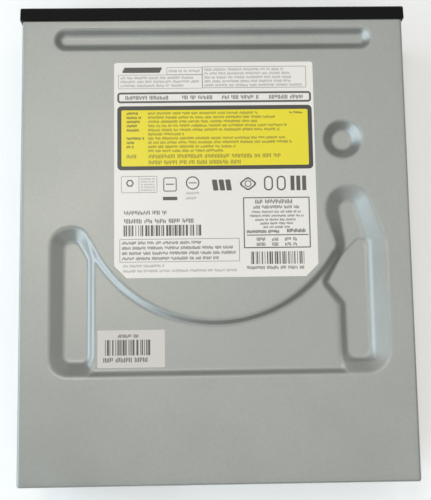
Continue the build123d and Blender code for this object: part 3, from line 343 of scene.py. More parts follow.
def metal(name, base, roughness, grain, stretch=(1, 1, 1), depth=0.01):
    """Plain or brushed metal. stretch under 1 draws the grain out along that axis."""
    material, principled = shader(name, metallic=1.0)
    fine = noise(material, grain, detail=3.0, stretch=stretch)
    broad = noise(material, 12.0, detail=2.0)
    colour = ramp(material, fine, [(0.3, tint(base, 0.9)), (0.7, tint(base, 1.08))])
    link(material, colour, principled.inputs["Base Color"])
    rough = spread(material, broad, roughness - 0.05, roughness + 0.07)
    link(material, rough, principled.inputs["Roughness"])
    bump(material, principled, fine, depth, 0.5)
    return material


def plastic(name, base, roughness, grain, depth, **sockets):
    """Moulded plastic with a spark-eroded grain, and wear that lightens it a little."""
    material, principled = shader(name, **sockets)
    fine = noise(material, grain, detail=2.0)
    broad = noise(material, 22.0, detail=3.0)
    colour = ramp(material, broad, [(0.3, tint(base, 0.92)), (0.7, tint(base, 1.1))])
    speck = ramp(material, fine, [(0.35, (0.9, 0.9, 0.9)), (0.65, (1.0, 1.0, 1.0))])
    colour = multiplied(material, colour, speck)
    link(material, colour, principled.inputs["Base Color"])
    rough = spread(material, broad, roughness - 0.05, roughness + 0.06)
    link(material, rough, principled.inputs["Roughness"])
    bump(material, principled, fine, depth, 0.6)
    return material


def paper(name, base, roughness=0.42):
    """Coated label stock: a faint fibre mottle under a satin varnish."""
    material, principled = shader(name, Coat_Weight=0.35, Coat_Roughness=0.22)
    fibre = noise(material, 0.5, detail=4.0)
    broad = noise(material, 30.0, detail=2.0)
    colour = ramp(material, fibre, [(0.3, tint(base, 0.97)), (0.7, tint(base, 1.02))])
    tone = ramp(material, broad, [(0.3, (0.97, 0.97, 0.97)), (0.7, (1.0, 1.0, 1.0))])
    colour = multiplied(material, colour, tone)
    link(material, colour, principled.inputs["Base Color"])
    link(material, spread(material, fibre, roughness - 0.03, roughness + 0.05),
         principled.inputs["Roughness"])
    bump(material, principled, fibre, 0.004, 0.4)
    return material


def laminate():
    """Circuit board: solder mask with copper tracks showing through as a paler pattern."""
    material, principled = shader("board_laminate", Coat_Weight=0.3, Coat_Roughness=0.15)
    tracks = add(material, "ShaderNodeTexBrick", offset=0.37, squash=0.6)
    tracks.inputs["Color1"].default_value = (0.010, 0.085, 0.045, 1)
    tracks.inputs["Color2"].default_value = (0.014, 0.105, 0.055, 1)
    tracks.inputs["Mortar"].default_value = (0.022, 0.17, 0.085, 1)
    tracks.inputs["Scale"].default_value = 1.0 / (4.0 * MM)
    tracks.inputs["Mortar Size"].default_value = 0.05
    link(material, place_of(material), tracks.inputs["Vector"])
    mottle = ramp(material, noise(material, 6.0), [(0.3, (0.85, 0.85, 0.85)), (0.7, (1, 1, 1))])
    colour = multiplied(material, tracks.outputs["Color"], mottle)
    link(material, colour, principled.inputs["Base Color"])
    link(material, spread(material, noise(material, 1.0), 0.32, 0.45),
         principled.inputs["Roughness"])
    bump(material, principled, tracks.outputs["Fac"], 0.03, 0.5)
    return material


def winding():
    """Enamelled copper wire, wound in fine turns, with painted shade dark brown in the grooves between turns
    and bright copper on their crowns.
    """
    material, principled = shader("winding", metallic=1.0)
    turns = add(material, "ShaderNodeTexWave", wave_type="BANDS", bands_direction="Z")
    turns.inputs["Scale"].default_value = 1.0 / (1.0 * MM)
    turns.inputs["Distortion"].default_value = 0.6
    link(material, place_of(material), turns.inputs["Vector"])
    # painted shade: colour runs from dark brown in the grooves between turns to bright copper on their
    # crowns; the turns' bump itself is real
    colour = ramp(material, turns.outputs["Fac"], [(0.1, (0.22, 0.05, 0.015)), (0.8, (0.75, 0.27, 0.09))])
    link(material, colour, principled.inputs["Base Color"])
    link(material, spread(material, noise(material, 0.6), 0.25, 0.4), principled.inputs["Roughness"])
    bump(material, principled, turns.outputs["Fac"], 0.08, 0.8)
    return material


def ribbon_film():
    """Flat cable: pale film with dull silver conductors side by side."""
    material, principled = shader("ribbon_film", Coat_Weight=0.5, Coat_Roughness=0.2)
    strips = add(material, "ShaderNodeTexWave", wave_type="BANDS", bands_direction="X")
    strips.inputs["Scale"].default_value = 1.0 / (3.2 * MM)
    link(material, place_of(material), strips.inputs["Vector"])
    colour = ramp(material, strips.outputs["Fac"], [(0.4, (0.62, 0.64, 0.66)), (0.6, (0.80, 0.81, 0.80))])
    link(material, colour, principled.inputs["Base Color"])
    link(material, spread(material, noise(material, 2.0), 0.3, 0.4), principled.inputs["Roughness"])
    bump(material, principled, strips.outputs["Fac"], 0.03, 0.4)
    return material


def glass(name, base, roughness):
    """Clear moulded plastic or a coated lens, with faint swirl in its colour."""
    material, principled = shader(name, Transmission_Weight=0.85, IOR=1.49)
    swirl = noise(material, 1.5)
    colour = ramp(material, swirl, [(0.3, tint(base, 0.95)), (0.7, base)])
    link(material, colour, principled.inputs["Base Color"])
    link(material, spread(material, swirl, roughness, roughness + 0.04), principled.inputs["Roughness"])
    return material


MATERIALS = {
    "galvanised_steel": galvanised(),
    "screw_steel": metal("screw_steel", (0.56, 0.56, 0.54), 0.28, grain=0.2),
    "label_paper": paper("label_paper", (0.97, 0.925, 0.87)),
    "bezel_plastic": plastic("bezel_plastic", (0.0042, 0.0042, 0.0043), 0.42, grain=0.3, depth=0.03,
                             Specular_IOR_Level=0.12),
    "tray_plastic": plastic("tray_plastic", (0.018, 0.018, 0.020), 0.48, grain=0.35, depth=0.03),
    "gear_plastic": plastic("gear_plastic", (0.74, 0.72, 0.66), 0.38, grain=0.5, depth=0.008),
    "dark_gear_plastic": plastic("dark_gear_plastic", (0.035, 0.035, 0.038), 0.35, grain=0.5, depth=0.008),
    "rubber": plastic("rubber", (0.012, 0.012, 0.012), 0.75, grain=0.15, depth=0.02),
    "bare_steel": metal("bare_steel", (0.55, 0.55, 0.53), 0.36, grain=0.3, stretch=(0.12, 1, 1)),
    "frame_plastic": plastic("frame_plastic", (0.022, 0.022, 0.024), 0.5, grain=0.4, depth=0.03),
    "lift_plastic": plastic("lift_plastic", (0.045, 0.045, 0.048), 0.5, grain=0.4, depth=0.03),
    "grommet_rubber": plastic("grommet_rubber", (0.16, 0.17, 0.30), 0.65, grain=0.2, depth=0.015),
    "gold_contact": metal("gold_contact", (0.83, 0.60, 0.24), 0.25, grain=0.3),
    "winding": winding(),
    "magnet": metal("magnet", (0.22, 0.22, 0.23), 0.45, grain=0.25, depth=0.02),
    "bright_steel": metal("bright_steel", (0.72, 0.72, 0.71), 0.16, grain=0.15, stretch=(1, 0.1, 1)),
    "die_cast": metal("die_cast", (0.42, 0.42, 0.43), 0.5, grain=0.5, depth=0.04),
    "lens_plastic": plastic("lens_plastic", (0.02, 0.02, 0.022), 0.4, grain=0.2, depth=0.01),
    "lens_glass": glass("lens_glass", (0.75, 0.86, 0.98), 0.02),
    "ribbon_film": ribbon_film(),
    "board_laminate": laminate(),
    "chip_plastic": plastic("chip_plastic", (0.02, 0.02, 0.021), 0.55, grain=0.12, depth=0.01),
    "cap_can": metal("cap_can", (0.62, 0.62, 0.62), 0.3, grain=0.2, stretch=(1, 1, 0.1)),
    "socket_plastic": plastic("socket_plastic", (0.70, 0.66, 0.55), 0.42, grain=0.3, depth=0.01),
    "connector_plastic": plastic("connector_plastic", (0.015, 0.015, 0.016), 0.45, grain=0.25, depth=0.015),
    "clear_plastic": glass("clear_plastic", (0.92, 0.93, 0.90), 0.18),
}
PRINT_BLACK = paper("label_print", (0.115, 0.105, 0.095), 0.5)
PRINT_GREY = paper("label_print_grey", (0.30, 0.285, 0.26), 0.5)
PANEL_DARK = paper("label_panel_dark", (0.055, 0.053, 0.050), 0.45)
PANEL_YELLOW = paper("label_panel_yellow", (0.98, 0.82, 0.015), 0.4)
STICKER_PAPER = paper("sticker_paper", (0.74, 0.70, 0.65))
PRINT_OLIVE = paper("label_print_olive", (0.33, 0.28, 0.035), 0.5)


def dress_cad_nodes():
    """Gives every CAD node the material of its record slot."""
    for row in frame["record"]["subparts"]:
        node = frame["nodes"][row["node"]]
        node.data.materials.clear()
        node.data.materials.append(MATERIALS[row["material_slot"]])


# ---- Steel case -------------------------------------------------------------------------------
# Each stamping: its outline at the sheet's top, and the floor that its walls run down to
GROOVE_X, GROOVE_Y, GROOVE_RUN, GROOVE_DEPTH = 60.6, (-81.6, -73.3), 2.3, 2.4
DIMPLE_AT, DIMPLE_R, DIMPLE_RUN, DIMPLE_DEPTH = (-48.6, -37.5), 7.3, 3.5, 3.2
STEP_AT, STEP_R, STEP_RUN, STEP_DEPTH = (0.4, -20.0), 50.7, 1.7, 1.5
STEP_X, STEP_FRONT, STEP_LEAN, STEP_REAR = 47.6, 2.6, 0.058, 50.7
POCKET_DEPTH = 3.3
LOBE_RISE, LOBE_RUN = 0.25, 0.8      # how much shallower the right pocket's front lobe is, and its slope
FILLET = 0.75                        # rounding at the top and the foot of a stamping's walls
SHARED_ROUND, SHARED_FULL = 0.9, 0.8  # rounding where two stampings meet, full from this depth
SHORTEST_RUN = 0.05                  # of a wall in plan
LEFT_OUTLINE = [(62.0, -4.7, 7.5), (49.8, -4.7, 6.0), (43.9, 6.4, 9.0), (43.9, 50.8, 3.5), (62.0, 50.8, 7.0)]
LEFT_FLOOR = [(56.6, 0.6, 2.6), (51.4, 0.6, 2.6), (47.7, 7.2, 4.0), (47.7, 45.3, 2.6), (56.6, 45.3, 2.6)]
RIGHT_OUTLINE = [
    (-41.0, -19.6, 8.6), (-41.2, -8.0, 10.0), (-45.1, 3.4, 5.0), (-37.0, 16.8, 2.4), (-42.6, 25.6, 4.0),
    (-42.6, 50.8, 4.0), (-63.9, 50.8, 8.6), (-63.7, 1.0, 5.0), (-56.0, -19.6, 7.0),
]
RIGHT_FLOOR = [
    (-46.4, -13.9, 3.0), (-48.7, 3.3, 5.0), (-41.5, 16.7, 1.0), (-48.1, 24.6, 3.0),
    (-48.4, 44.9, 3.0), (-56.6, 44.9, 3.0), (-56.3, 1.5, 8.0), (-52.0, -13.9, 2.4),
]
RIGHT_LOWER = [
    (-46.8, 6.7, 0.4), (-53.3, 0.2, 2.2), (-58.0, 1.3, 0.5), (-58.0, 46.0, 0.5), (-40.0, 46.0, 0.5),
    (-40.0, 16.0, 0.5),
]


def outside_polygon(x, y, outline):
    """Signed distance to a closed outline, negative inside."""
    nearest = np.full(x.shape, 1e9)
    inside = np.zeros(x.shape, bool)
    for (x0, y0), (x1, y1) in zip(outline, outline[1:] + outline[:1]):
        ex, ey = x1 - x0, y1 - y0
        length = ex * ex + ey * ey
        if length < 1e-12:
            continue
        t = np.clip(((x - x0) * ex + (y - y0) * ey) / length, 0, 1)
        nearest = np.minimum(nearest, np.hypot(x - x0 - t * ex, y - y0 - t * ey))
        crosses = (y0 > y) != (y1 > y)
        if y1 != y0:
            inside ^= crosses & (x < x0 + (y - y0) * ex / (y1 - y0))
    return np.where(inside, -nearest, nearest)


def outside_capsule(x, y, half, middle_y, radius):
    """Signed distance to a slot with round ends that runs along x, negative inside."""
    return np.hypot(np.maximum(np.abs(x) - half + radius, 0), y - middle_y) - radius


def eased(s):
    """max(s, 0) with a rounded corner."""
    return np.where(s < -FILLET, 0.0, np.where(s > FILLET, s, (s + FILLET) ** 2 / (4 * FILLET)))


def stamped(outer, floor, depth):
    """Depth of a stamping, from the signed distances to its outline and to its floor."""
    run = np.maximum(floor - outer, SHORTEST_RUN)
    return depth * (eased(-outer) - eased(-floor)) / run


def deeper(a, b):
    """The deeper of two stampings, with their shared edge rounded."""
    k = SHARED_ROUND * np.clip(np.minimum(a, b) / SHARED_FULL, 1e-3, 1)
    near = np.maximum(k - np.abs(a - b), 0)
    return np.maximum(a, b) + near * near / (4 * k)


def sheet_depth(x, y):
    """How far the top sheet is stamped down at each place."""
    groove = outside_capsule(x, y, GROOVE_X, sum(GROOVE_Y) / 2, (GROOVE_Y[1] - GROOVE_Y[0]) / 2)
    depth = stamped(groove, groove + GROOVE_RUN, GROOVE_DEPTH)
    dimple = np.hypot(x - DIMPLE_AT[0], y - DIMPLE_AT[1]) - DIMPLE_R
    depth = np.maximum(depth, stamped(dimple, dimple + DIMPLE_RUN, DIMPLE_DEPTH))
    field = np.maximum(np.abs(x) - STEP_X, np.maximum(STEP_FRONT - STEP_LEAN * x - y, y - STEP_REAR))
    field = np.maximum(field, STEP_R - np.hypot(x - STEP_AT[0], y - STEP_AT[1]))
    field = stamped(field, field + STEP_RUN, STEP_DEPTH)
    left = stamped(outside_polygon(x, y, rounded(LEFT_OUTLINE)),
                   outside_polygon(x, y, rounded(LEFT_FLOOR)), POCKET_DEPTH)
    lower = outside_polygon(x, y, rounded(RIGHT_LOWER))
    bottom = POCKET_DEPTH - LOBE_RISE * np.clip(0.5 + lower / LOBE_RUN, 0, 1)
    right = stamped(outside_polygon(x, y, rounded(RIGHT_OUTLINE)),
                    outside_polygon(x, y, rounded(RIGHT_FLOOR)), bottom)
    return np.maximum(depth, deeper(field, np.maximum(left, right)))


def grid_lines(*spans):
    """Places of grid lines; each span is (start, end, step)."""
    places = []
    for start, end, step in spans:
        count = max(1, round((end - start) / step))
        places += [start + (end - start) * k / count for k in range(count)]
    return places + [spans[-1][1]]


def cover_piece(piece):
    """Puts a piece of the stamped cover on the chassis."""
    finish_piece(piece, "chassis", MATERIALS["galvanised_steel"], ["top_cover"])


def case_top():
    """The stamped top sheet, with its bent edges at the sides and the rear."""
    inner_x, inner_y = SIDE_X - BEND_R, REAR_Y - BEND_R
    xs = grid_lines((-inner_x, -65, 1.2), (-65, -36.5, 0.45), (-36.5, 36.5, 0.9),
                    (36.5, 64, 0.45), (64, inner_x, 1.2))
    ys = grid_lines((FRONT_Y, -83, 0.7), (-83, -72, 0.4), (-72, -46, 1.3), (-46, -30, 0.5),
                    (-30, -20.5, 1.0), (-20.5, 52.5, 0.45), (52.5, inner_y, 1.5))
    turns = [pi / 2 * k / BEND_STEPS for k in range(1, BEND_STEPS + 1)]
    columns = [(-inner_x, -t) for t in reversed(turns)]
    columns += [(x, 0.0) for x in xs] + [(inner_x, t) for t in turns]
    rows = [(y, 0.0) for y in ys] + [(inner_y, t) for t in turns]
    x, y = np.meshgrid(np.array([c[0] for c in columns]), np.array([r[0] for r in rows]))
    z = TOP_Z - sheet_depth(x, y)
    points = []
    for j, (row_y, v) in enumerate(rows):
        for i, (column_x, u) in enumerate(columns):
            lean = max(abs(u), v)
            if lean == 0:
                points.append((column_x, row_y, z[j, i]))
                continue
            course = pi / 4 * min(abs(u), v) / lean
            course = course if abs(u) >= v else pi / 2 - course
            out = BEND_R * sin(lean)
            side = -1 if u < 0 else 1
            points.append((column_x + side * out * cos(course), row_y + out * sin(course),
                           TOP_Z - BEND_R * (1 - cos(lean))))
    wide = len(columns)
    faces = [(j * wide + i, j * wide + i + 1, (j + 1) * wide + i + 1, (j + 1) * wide + i)
             for j in range(len(rows) - 1) for i in range(wide - 1)]
    piece = mesh_piece("case_top", points, faces, smooth=True)
    thick = piece.modifiers.new("sheet", "SOLIDIFY")
    thick.thickness = SHEET * MM
    thick.offset = -1.0
    cover_piece(piece)


MOUNT_Y = (-37.6, 41.65)             # the side holes' places, as in the frame's mounts
MOUNT_Z = (10.41, 22.34)
MOUNT_R, COLLAR_R, COLLAR = 1.25, 2.1, 2.0
MOUTH_R = MOUNT_R + 0.25             # hole in the sheet, where the collar's rounded mouth starts
HOLE_STEPS = 40
WINDOW_Y, WINDOW_Z = (-82.0, -78.0), (15.0, 25.0)
SOCKET_X, SOCKET_Z = (16.0, 58.0), 13.3


def case_side(side):
    """One side wall, with four mounting holes in drawn collars and the panel's latch window."""
    name = "case_side_right" if side > 0 else "case_side_left"
    outline = rounded_box(FRONT_Y, REAR_Y - BEND_R, CASE_LOW[2], TOP_Z - BEND_R, 0.15, 2)
    holes = [circle((y, z), MOUTH_R, HOLE_STEPS) for y in MOUNT_Y for z in MOUNT_Z]
    holes.append(rounded_box(*WINDOW_Y, *WINDOW_Z, 0.5))
    wall = plate(name, outline, holes, SHEET, lambda u, v, w: (side * (SIDE_X - w), u, v))
    work = bmesh.new()
    work.from_mesh(wall.data)
    rim = [(MOUTH_R, 0.0), (MOUNT_R + 0.07, 0.08), (MOUNT_R, 0.25), (MOUNT_R, COLLAR),
           (COLLAR_R, COLLAR), (COLLAR_R, SHEET), (MOUTH_R, SHEET)]
    for y in MOUNT_Y:
        for z in MOUNT_Z:
            points, faces = lathe(rim, lambda a, b, s: (side * (SIDE_X - s), y + a, z + b), HOLE_STEPS)
            made = [work.verts.new(Vector(p) * MM) for p in points]
            for face in faces:
                work.faces.new([made[i] for i in face])
    bmesh.ops.recalc_face_normals(work, faces=work.faces)
    work.to_mesh(wall.data)
    work.free()
    cover_piece(wall)


def case_rear():
    """The rear wall, cut out above the plug socket, and the rounded corners beside it."""
    half = SIDE_X - BEND_R
    low, top = CASE_LOW[2], TOP_Z - BEND_R
    outline = rounded([(-half, low, 0.1), (SOCKET_X[0], low, 0.1), (SOCKET_X[0], SOCKET_Z, 0.6),
                       (SOCKET_X[1], SOCKET_Z, 0.6), (SOCKET_X[1], low, 0.1), (half, low, 0.1),
                       (half, top, 0.1), (-half, top, 0.1)], 4)
    wall = plate("case_rear", outline, [], SHEET, lambda u, v, w: (u, REAR_Y - w, v))
    solids = []
    turns = [pi / 2 * k / CORNER_STEPS for k in range(CORNER_STEPS + 1)]
    for side in (-1, 1):
        arc = []
        for radius, order in ((BEND_R, turns), (BEND_R - SHEET, turns[::-1])):
            for t in order:
                arc.append((side * (half + radius * cos(t)), REAR_Y - BEND_R + radius * sin(t)))
        solids.append(prism(arc, (low, top)))
    corners = mesh_piece("case_corners", *joined(solids))
    clean(corners)
    cover_piece(corners)
    cover_piece(wall)


# ---- Labels -----------------------------------------------------------------------------------
INK = 0.02                           # thickness of each printed layer
TICK_PITCH = 0.36                    # between two ticks of a row, as a share of its height
WORD_TICKS = (4, 18)                 # fewest and most ticks in a group
WORD_GAP = 1.4                       # between groups, in tick pitches


class Print:
    """Ink on a label. u runs from the label's +X edge towards -X, and v from its front edge to the rear."""

    def __init__(self, low, high, seed):
        self.corner = (high[0], low[1])
        self.base = high[2]
        self.random = Random(seed)
        self.layers = {}

    def place(self, u, v):
        return self.corner[0] - u, self.corner[1] + v

    def add(self, layer, solid, level=1):
        self.layers.setdefault((layer, level), []).append(solid)

    def z(self, level):
        return self.base, self.base + INK * level

    def box(self, layer, u, v, level=1):
        (x0, y0), (x1, y1) = self.place(u[1], v[0]), self.place(u[0], v[1])
        self.add(layer, box_points((x0, x1), (y0, y1), self.z(level)), level)

    def shape(self, layer, outline, level=1):
        self.add(layer, prism([self.place(u, v) for u, v in outline], self.z(level)), level)

    def outline(self, layer, outer, inner):
        loops = [[self.place(u, v) for u, v in loop] for loop in (outer, inner)]
        self.add(layer, ring(*loops, self.z(1)))

    def frame(self, layer, u, v, width, radius=0.15):
        inner = max(radius - width, 0.05)
        self.outline(layer, rounded_box(*u, *v, radius, 4),
                     rounded_box(u[0] + width, u[1] - width, v[0] + width, v[1] - width, inner, 4))

    def row(self, layer, u, v, height, level=1, thick=0.15):
        """A row of ticks in word-long groups, with no letters in it."""
        step = TICK_PITCH * height
        tick = thick * height
        at = u[0]
        while at < u[1] - 2 * step:
            count = min(self.random.randint(*WORD_TICKS), int((u[1] - at) / step))
            for k in range(count):
                cut = self.random.choice((0.0, 0.15, 0.3)) * height
                start = v + self.random.choice((0.0, cut))
                self.box(layer, (at + k * step, at + k * step + tick), (start, start + height - cut), level)
            at += (count + WORD_GAP) * step

    def bars(self, layer, u, v, module, level=1):
        """A barcode-like row of bars that encodes nothing."""
        at = u[0]
        while at < u[1] - module:
            width = module * self.random.choice((1, 1, 2, 3))
            self.box(layer, (at, min(at + width, u[1])), v, level)
            at += width + module * self.random.choice((1, 1, 2, 3))

    def pieces(self, name, materials):
        for (layer, level), solids in sorted(self.layers.items()):
            piece = mesh_piece(f"{name}_{layer}_{level}", *joined(solids))
            finish_piece(piece, "chassis", materials[layer])


def label_head(ink):
    """Boxes and rows across the front of the label."""
    ink.shape("black", rounded([(2.9, 4.0, 0.3), (4.0, 1.9, 0.3), (18.4, 1.9, 0.3), (17.3, 4.0, 0.3)], 3))
    ink.frame("grey", (20.0, 33.6), (1.9, 4.9), 0.16)
    ink.row("grey", (20.8, 32.8), 2.9, 1.0)
    ink.frame("grey", (1.6, 33.6), (4.8, 10.3), 0.16)
    for k, end in enumerate((30.8, 32.4, 26.6)):
        ink.row("grey", (2.5, end), 5.5 + 1.55 * k, 1.05)
    ink.frame("grey", (33.5, 73.2), (1.7, 10.2), 0.2)
    for k, end in enumerate((64.8, 67.3, 68.6, 67.6, 71.8)):
        ink.row("grey", (34.4, end), 2.4 + 1.55 * k, 1.0)
    ink.frame("black", (1.2, 74.9), (11.7, 15.9), 0.75, 1.2)
    for u in ((4.3, 22.6), (25.9, 38.0), (41.0, 55.4), (58.9, 72.2)):
        ink.row("black", u, 13.05, 1.55, thick=0.19)


def label_panel(ink):
    """The yellow panel with its dark border, and rows in a narrow and a wide column."""
    ink.shape("dark", rounded_box(1.2, 75.0, 17.1, 41.9, 1.6), 1)
    ink.shape("yellow", rounded_box(2.75, 73.4, 18.7, 40.4, 0.5), 2)
    narrow = (4.6, 5.7, 5.2, 4.6, 4.9, 0, 6.7, 3.2, 2.7, 0)
    wide = (54.6, 61.3, 54.6, 65.6, 62.9, 26.6, 65.0, 67.3, 46.3, 41.3)
    for k, (word, line) in enumerate(zip(narrow, wide)):
        v = 19.5 + 1.62 * k
        if word:
            ink.row("olive", (4.7, 4.7 + word), v, 1.0, 3, thick=0.3)
        ink.row("olive", (12.8, line), v, 1.0, 3, thick=0.22)
    ink.row("olive", (66.4, 71.6), 19.6, 0.8, 3, thick=0.3)
    ink.row("olive", (4.7, 8.6), 35.9, 1.5, 3, thick=0.2)
    ink.row("olive", (13.0, 63.0), 35.9, 1.55, 3, thick=0.2)
    ink.row("olive", (13.0, 48.0), 38.2, 1.55, 3, thick=0.2)


def label_marks(ink):
    """A row of plain shapes, where such labels carry marks."""
    ink.frame("grey", (2.6, 16.1), (44.2, 50.6), 0.18, 0.5)
    ink.box("grey", (9.2, 9.4), (44.2, 50.6))
    ink.outline("black", circle((5.9, 46.9), 1.5, 6), circle((5.9, 46.9), 0.95, 6))
    for k in range(5):
        ink.row("grey", (10.0, 15.4), 45.0 + 1.05 * k, 0.65)
    ink.frame("black", (18.4, 23.4), (44.8, 50.2), 0.35, 0.7)
    ink.box("black", (19.4, 22.4), (47.2, 47.6))
    ink.box("black", (18.2, 23.6), (52.2, 53.5))
    ink.outline("black", circle((29.4, 47.0), 2.55, 36), circle((29.4, 47.0), 2.1, 36))
    ink.box("black", (27.9, 30.9), (46.8, 47.15))
    ink.row("grey", (26.9, 32.2), 50.4, 1.0)
    ink.row("grey", (26.9, 31.0), 52.3, 1.0)
    for k in range(3):
        ink.shape("black", rounded([(36.6 + 2.5 * k, 45.8, 0.3), (38.5 + 2.5 * k, 45.8, 0.3),
                                    (39.1 + 2.5 * k, 50.0, 0.3), (37.2 + 2.5 * k, 50.0, 0.3)], 3))
    diamond = [(50.2, 44.7, 1.2), (53.9, 47.5, 1.0), (50.2, 50.3, 1.2), (46.5, 47.5, 1.0)]
    inner_diamond = [(50.2, 45.4, 1.0), (53.0, 47.5, 0.7), (50.2, 49.6, 1.0), (47.4, 47.5, 0.7)]
    ink.outline("black", rounded(diamond, 4), rounded(inner_diamond, 4))
    ink.outline("black", circle((50.2, 47.5), 1.3, 24), circle((50.2, 47.5), 0.95, 24))
    for u in (56.2, 61.0):
        ink.frame("black", (u, u + 3.4), (44.6, 50.2), 0.55, 1.6)
    for k in range(3):
        ink.box("black", (66.2 + 2.2 * k, 67.7 + 2.2 * k), (44.6, 50.2))


def label_foot(ink):
    """Rows, two barcodes and two framed boxes at the rear of the label."""
    ink.row("black", (3.7, 19.9), 57.4, 1.6, thick=0.2)
    ink.row("black", (3.7, 30.2), 60.5, 1.7, thick=0.2)
    ink.bars("black", (3.5, 32.6), (62.9, 67.0), 0.26)
    ink.frame("grey", (2.0, 46.6), (68.1, 76.8), 0.2)
    for k, end in enumerate((32.6, 44.4, 45.4, 39.0)):
        ink.row("black", (2.9, end), 69.0 + 1.95 * k, 1.15, thick=0.2)
    ink.row("grey", (3.4, 18.6), 77.7, 1.0)
    ink.row("grey", (3.4, 46.6), 79.6, 1.0)
    ink.frame("black", (48.2, 73.2), (52.7, 72.0), 0.4, 0.3)
    middle = 60.7
    centred = ((15.8, 53.6, 1.6), (17.4, 55.9, 1.2), (18.6, 57.9, 0.85), (20.2, 59.4, 0.85),
               (16.2, 60.9, 0.85), (12.4, 62.3, 0.85), (10.0, 63.7, 0.85))
    for width, v, height in centred:
        ink.row("black", (middle - width / 2, middle + width / 2), v, height, thick=0.2)
    ink.row("black", (49.4, 61.8), 65.2, 1.15, thick=0.24)
    ink.row("black", (64.4, 72.0), 64.8, 1.4, thick=0.24)
    ink.box("black", (49.4, 72.4), (66.9, 67.25))
    for k in range(2):
        v = 68.0 + 1.9 * k
        for u in ((53.0, 56.8), (58.8, 61.6), (63.6, 68.2)):
            ink.row("black", u, v, 1.35, thick=0.2)
    ink.bars("black", (50.8, 70.6), (73.3, 78.0), 0.22)
    ink.row("black", (49.2, 71.0), 78.7, 1.25, thick=0.2)


def printed_labels():
    inks = {"black": PRINT_BLACK, "grey": PRINT_GREY, "dark": PANEL_DARK, "yellow": PANEL_YELLOW,
            "olive": PRINT_OLIVE, "base": STICKER_PAPER}
    ink = Print(LABEL_LOW, LABEL_HIGH, 7)
    label_head(ink)
    label_panel(ink)
    label_marks(ink)
    label_foot(ink)
    ink.pieces("label", inks)
    small = Print(STICKER_LOW, STICKER_HIGH, 11)
    wide, deep = (STICKER_HIGH - STICKER_LOW)[:2]
    small.shape("base", rounded_box(0.0, wide, 0.0, deep, 0.8))
    small.row("black", (7.5, 15.4), 1.6, 1.3, 2, thick=0.2)
    small.bars("black", (2.8, 19.8), (3.6, 9.3), 0.24, 2)
    small.row("black", (2.2, 20.2), 10.1, 1.7, 2, thick=0.2)
    small.pieces("sticker", inks)


# ---- Front panel ------------------------------------------------------------------------------
PANEL_DRAFT = 0.35                   # how much narrower each side of the panel is at its front
PANEL_EDGE, DOOR_EDGE = 0.35, 0.4    # rounding of the edges


def shaped_copy(name, node, move=None):
    """A new piece on a CAD node's outline, with its points moved and its flat faces joined up."""
    mesh = frame["nodes"][node].data.copy()
    mesh.name = name
    piece = bpy.data.objects.new(name, mesh)
    bpy.context.scene.collection.objects.link(piece)
    work = bmesh.new()
    work.from_mesh(mesh)
    bmesh.ops.remove_doubles(work, verts=work.verts, dist=MERGE_GAP * MM)
    bmesh.ops.dissolve_limit(work, angle_limit=radians(FLAT_ANGLE), verts=work.verts, edges=work.edges)
    if move:
        for vertex in work.verts:
            vertex.co = Vector(move(*(vertex.co / MM))) * MM
    work.to_mesh(mesh)
    work.free()
    return piece


def front_panel():
    """The black front panel, its sides drafted towards the front, and the tray door and the button."""
    low, high = node_box("front_bezel")

    def drafted(x, y, z):
        share = max(0.0, (high[1] - y) / (high[1] - low[1]))
        on_a_side = abs(abs(x) - high[0]) < 0.01
        if on_a_side:
            x -= PANEL_DRAFT * share * (1 if x > 0 else -1)
        return x, y, z

    panel = shaped_copy("front_panel", "front_bezel", drafted)
    finish_piece(panel, "chassis", MATERIALS["bezel_plastic"], ["front_bezel"])
    bevelled(panel, PANEL_EDGE)
    moving = (("door_face", "tray_door", "disc_tray"), ("button_cap", "eject_button", "button"))
    for name, node, body in moving:
        part = shaped_copy(name, node)
        finish_piece(part, body, MATERIALS["bezel_plastic"], [node])
        bevelled(part, DOOR_EDGE)


# ---- Stage ------------------------------------------------------------------------------------
FLOOR_HALF, FLOOR_THICK = 8000, 4


def floor():
    """A wide pale floor, which glows a little to come near a white surround."""
    across = (-FLOOR_HALF, FLOOR_HALF)
    points, faces = box_points(across, across, (-FLOOR_THICK, 0))
    stage = mesh_piece("floor", points, faces)
    material, principled = shader("floor", roughness=0.7)
    tone = ramp(material, noise(material, 90.0), [(0.3, (0.95, 0.95, 0.95)), (0.7, (0.97, 0.97, 0.97))])
    link(material, tone, principled.inputs["Base Color"])
    link(material, tone, principled.inputs["Emission Color"])
    principled.inputs["Emission Strength"].default_value = 0.2
    stage.data.materials.append(material)


def soft_light(name, at, size, power, colour):
    """A rectangular lamp at a place in millimetres, aimed at the drive's top."""
    lamp = bpy.data.lights.new(name, "AREA")
    lamp.shape = "RECTANGLE"
    lamp.size, lamp.size_y = size[0] * MM, size[1] * MM
    lamp.energy = power
    lamp.color = colour
    holder = bpy.data.objects.new(name, lamp)
    holder.location = Vector(at) * MM
    aim = Vector((0, 0, TOP_Z)) * MM - holder.location
    holder.rotation_euler = aim.to_track_quat("-Z", "Y").to_euler()
    bpy.context.scene.collection.objects.link(holder)


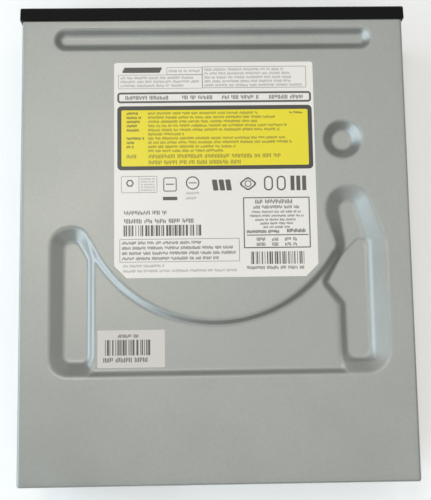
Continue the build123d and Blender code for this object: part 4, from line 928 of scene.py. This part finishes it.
def studio_world():
    """A plain room: a bright ceiling, brightest over the front, that falls off to dimmer walls."""
    world = bpy.data.worlds.new("studio")
    world.use_nodes = True
    background = world.node_tree.nodes["Background"]
    direction = add(world, "ShaderNodeTexCoord")
    brightest = Vector((-0.09, -0.37, 0.92)).normalized()
    facing = add(world, "ShaderNodeVectorMath", operation="DOT_PRODUCT")
    facing.inputs[1].default_value = brightest
    link(world, direction.outputs["Generated"], facing.inputs[0])
    up = spread(world, facing.outputs["Value"], 0.0, 1.0, 0.1, 1.0)
    room = ramp(world, up, [(0.0, (0.28, 0.27, 0.24)), (0.55, (0.34, 0.34, 0.32)), (0.76, (0.42, 0.42, 0.40)),
                            (0.87, (0.60, 0.60, 0.57)), (1.0, (0.93, 0.93, 0.89))])
    link(world, room, background.inputs["Color"])
    background.inputs["Strength"].default_value = 1.0
    bpy.context.scene.world = world


def lights():
    bpy.context.scene.view_settings.view_transform = "Standard"
    studio_world()
    soft_light("window", (1700, 450, 1050), (3300, 1500), 34.0, (0.76, 0.89, 1.0))
    soft_light("rear", (-150, 760, 1200), (900, 500), 1.5, (0.97, 0.99, 1.0))
    soft_light("side", (-800, -100, 1400), (500, 1200), 1.3, (1.0, 0.98, 0.95))
    soft_light("lamp", (224, -272, 1300), (170, 170), 1.15, (1.0, 0.95, 0.85))


def camera():
    """The photograph's viewpoint: straight above, the front panel at the top of the picture."""
    place = (8.619, 55.167, 396.8)
    focal, film = 69.44, 36.0
    pitch, roll, turn = -0.14148, 0.02319, 0.01215
    upright = Matrix(((-1, 0, 0), (0, -1, 0), (0, 0, 1)))
    to_camera = (Matrix.Rotation(turn, 3, "Z") @ Matrix.Rotation(roll, 3, "Y")
                 @ Matrix.Rotation(pitch, 3, "X") @ upright)
    lens = bpy.data.cameras.new("camera")
    lens.lens = focal
    lens.sensor_width = film
    lens.clip_start = 0.01
    lens.dof.use_dof = False
    holder = bpy.data.objects.new("camera", lens)
    holder.matrix_world = Matrix.Translation(Vector(place) * MM) @ to_camera.transposed().to_4x4()
    bpy.context.scene.collection.objects.link(holder)
    bpy.context.scene.camera = holder


# ---- The whole drive --------------------------------------------------------------------------
dress_cad_nodes()
case_top()
case_side(-1)
case_side(1)
case_rear()
printed_labels()
front_panel()
floor()
lights()
camera()
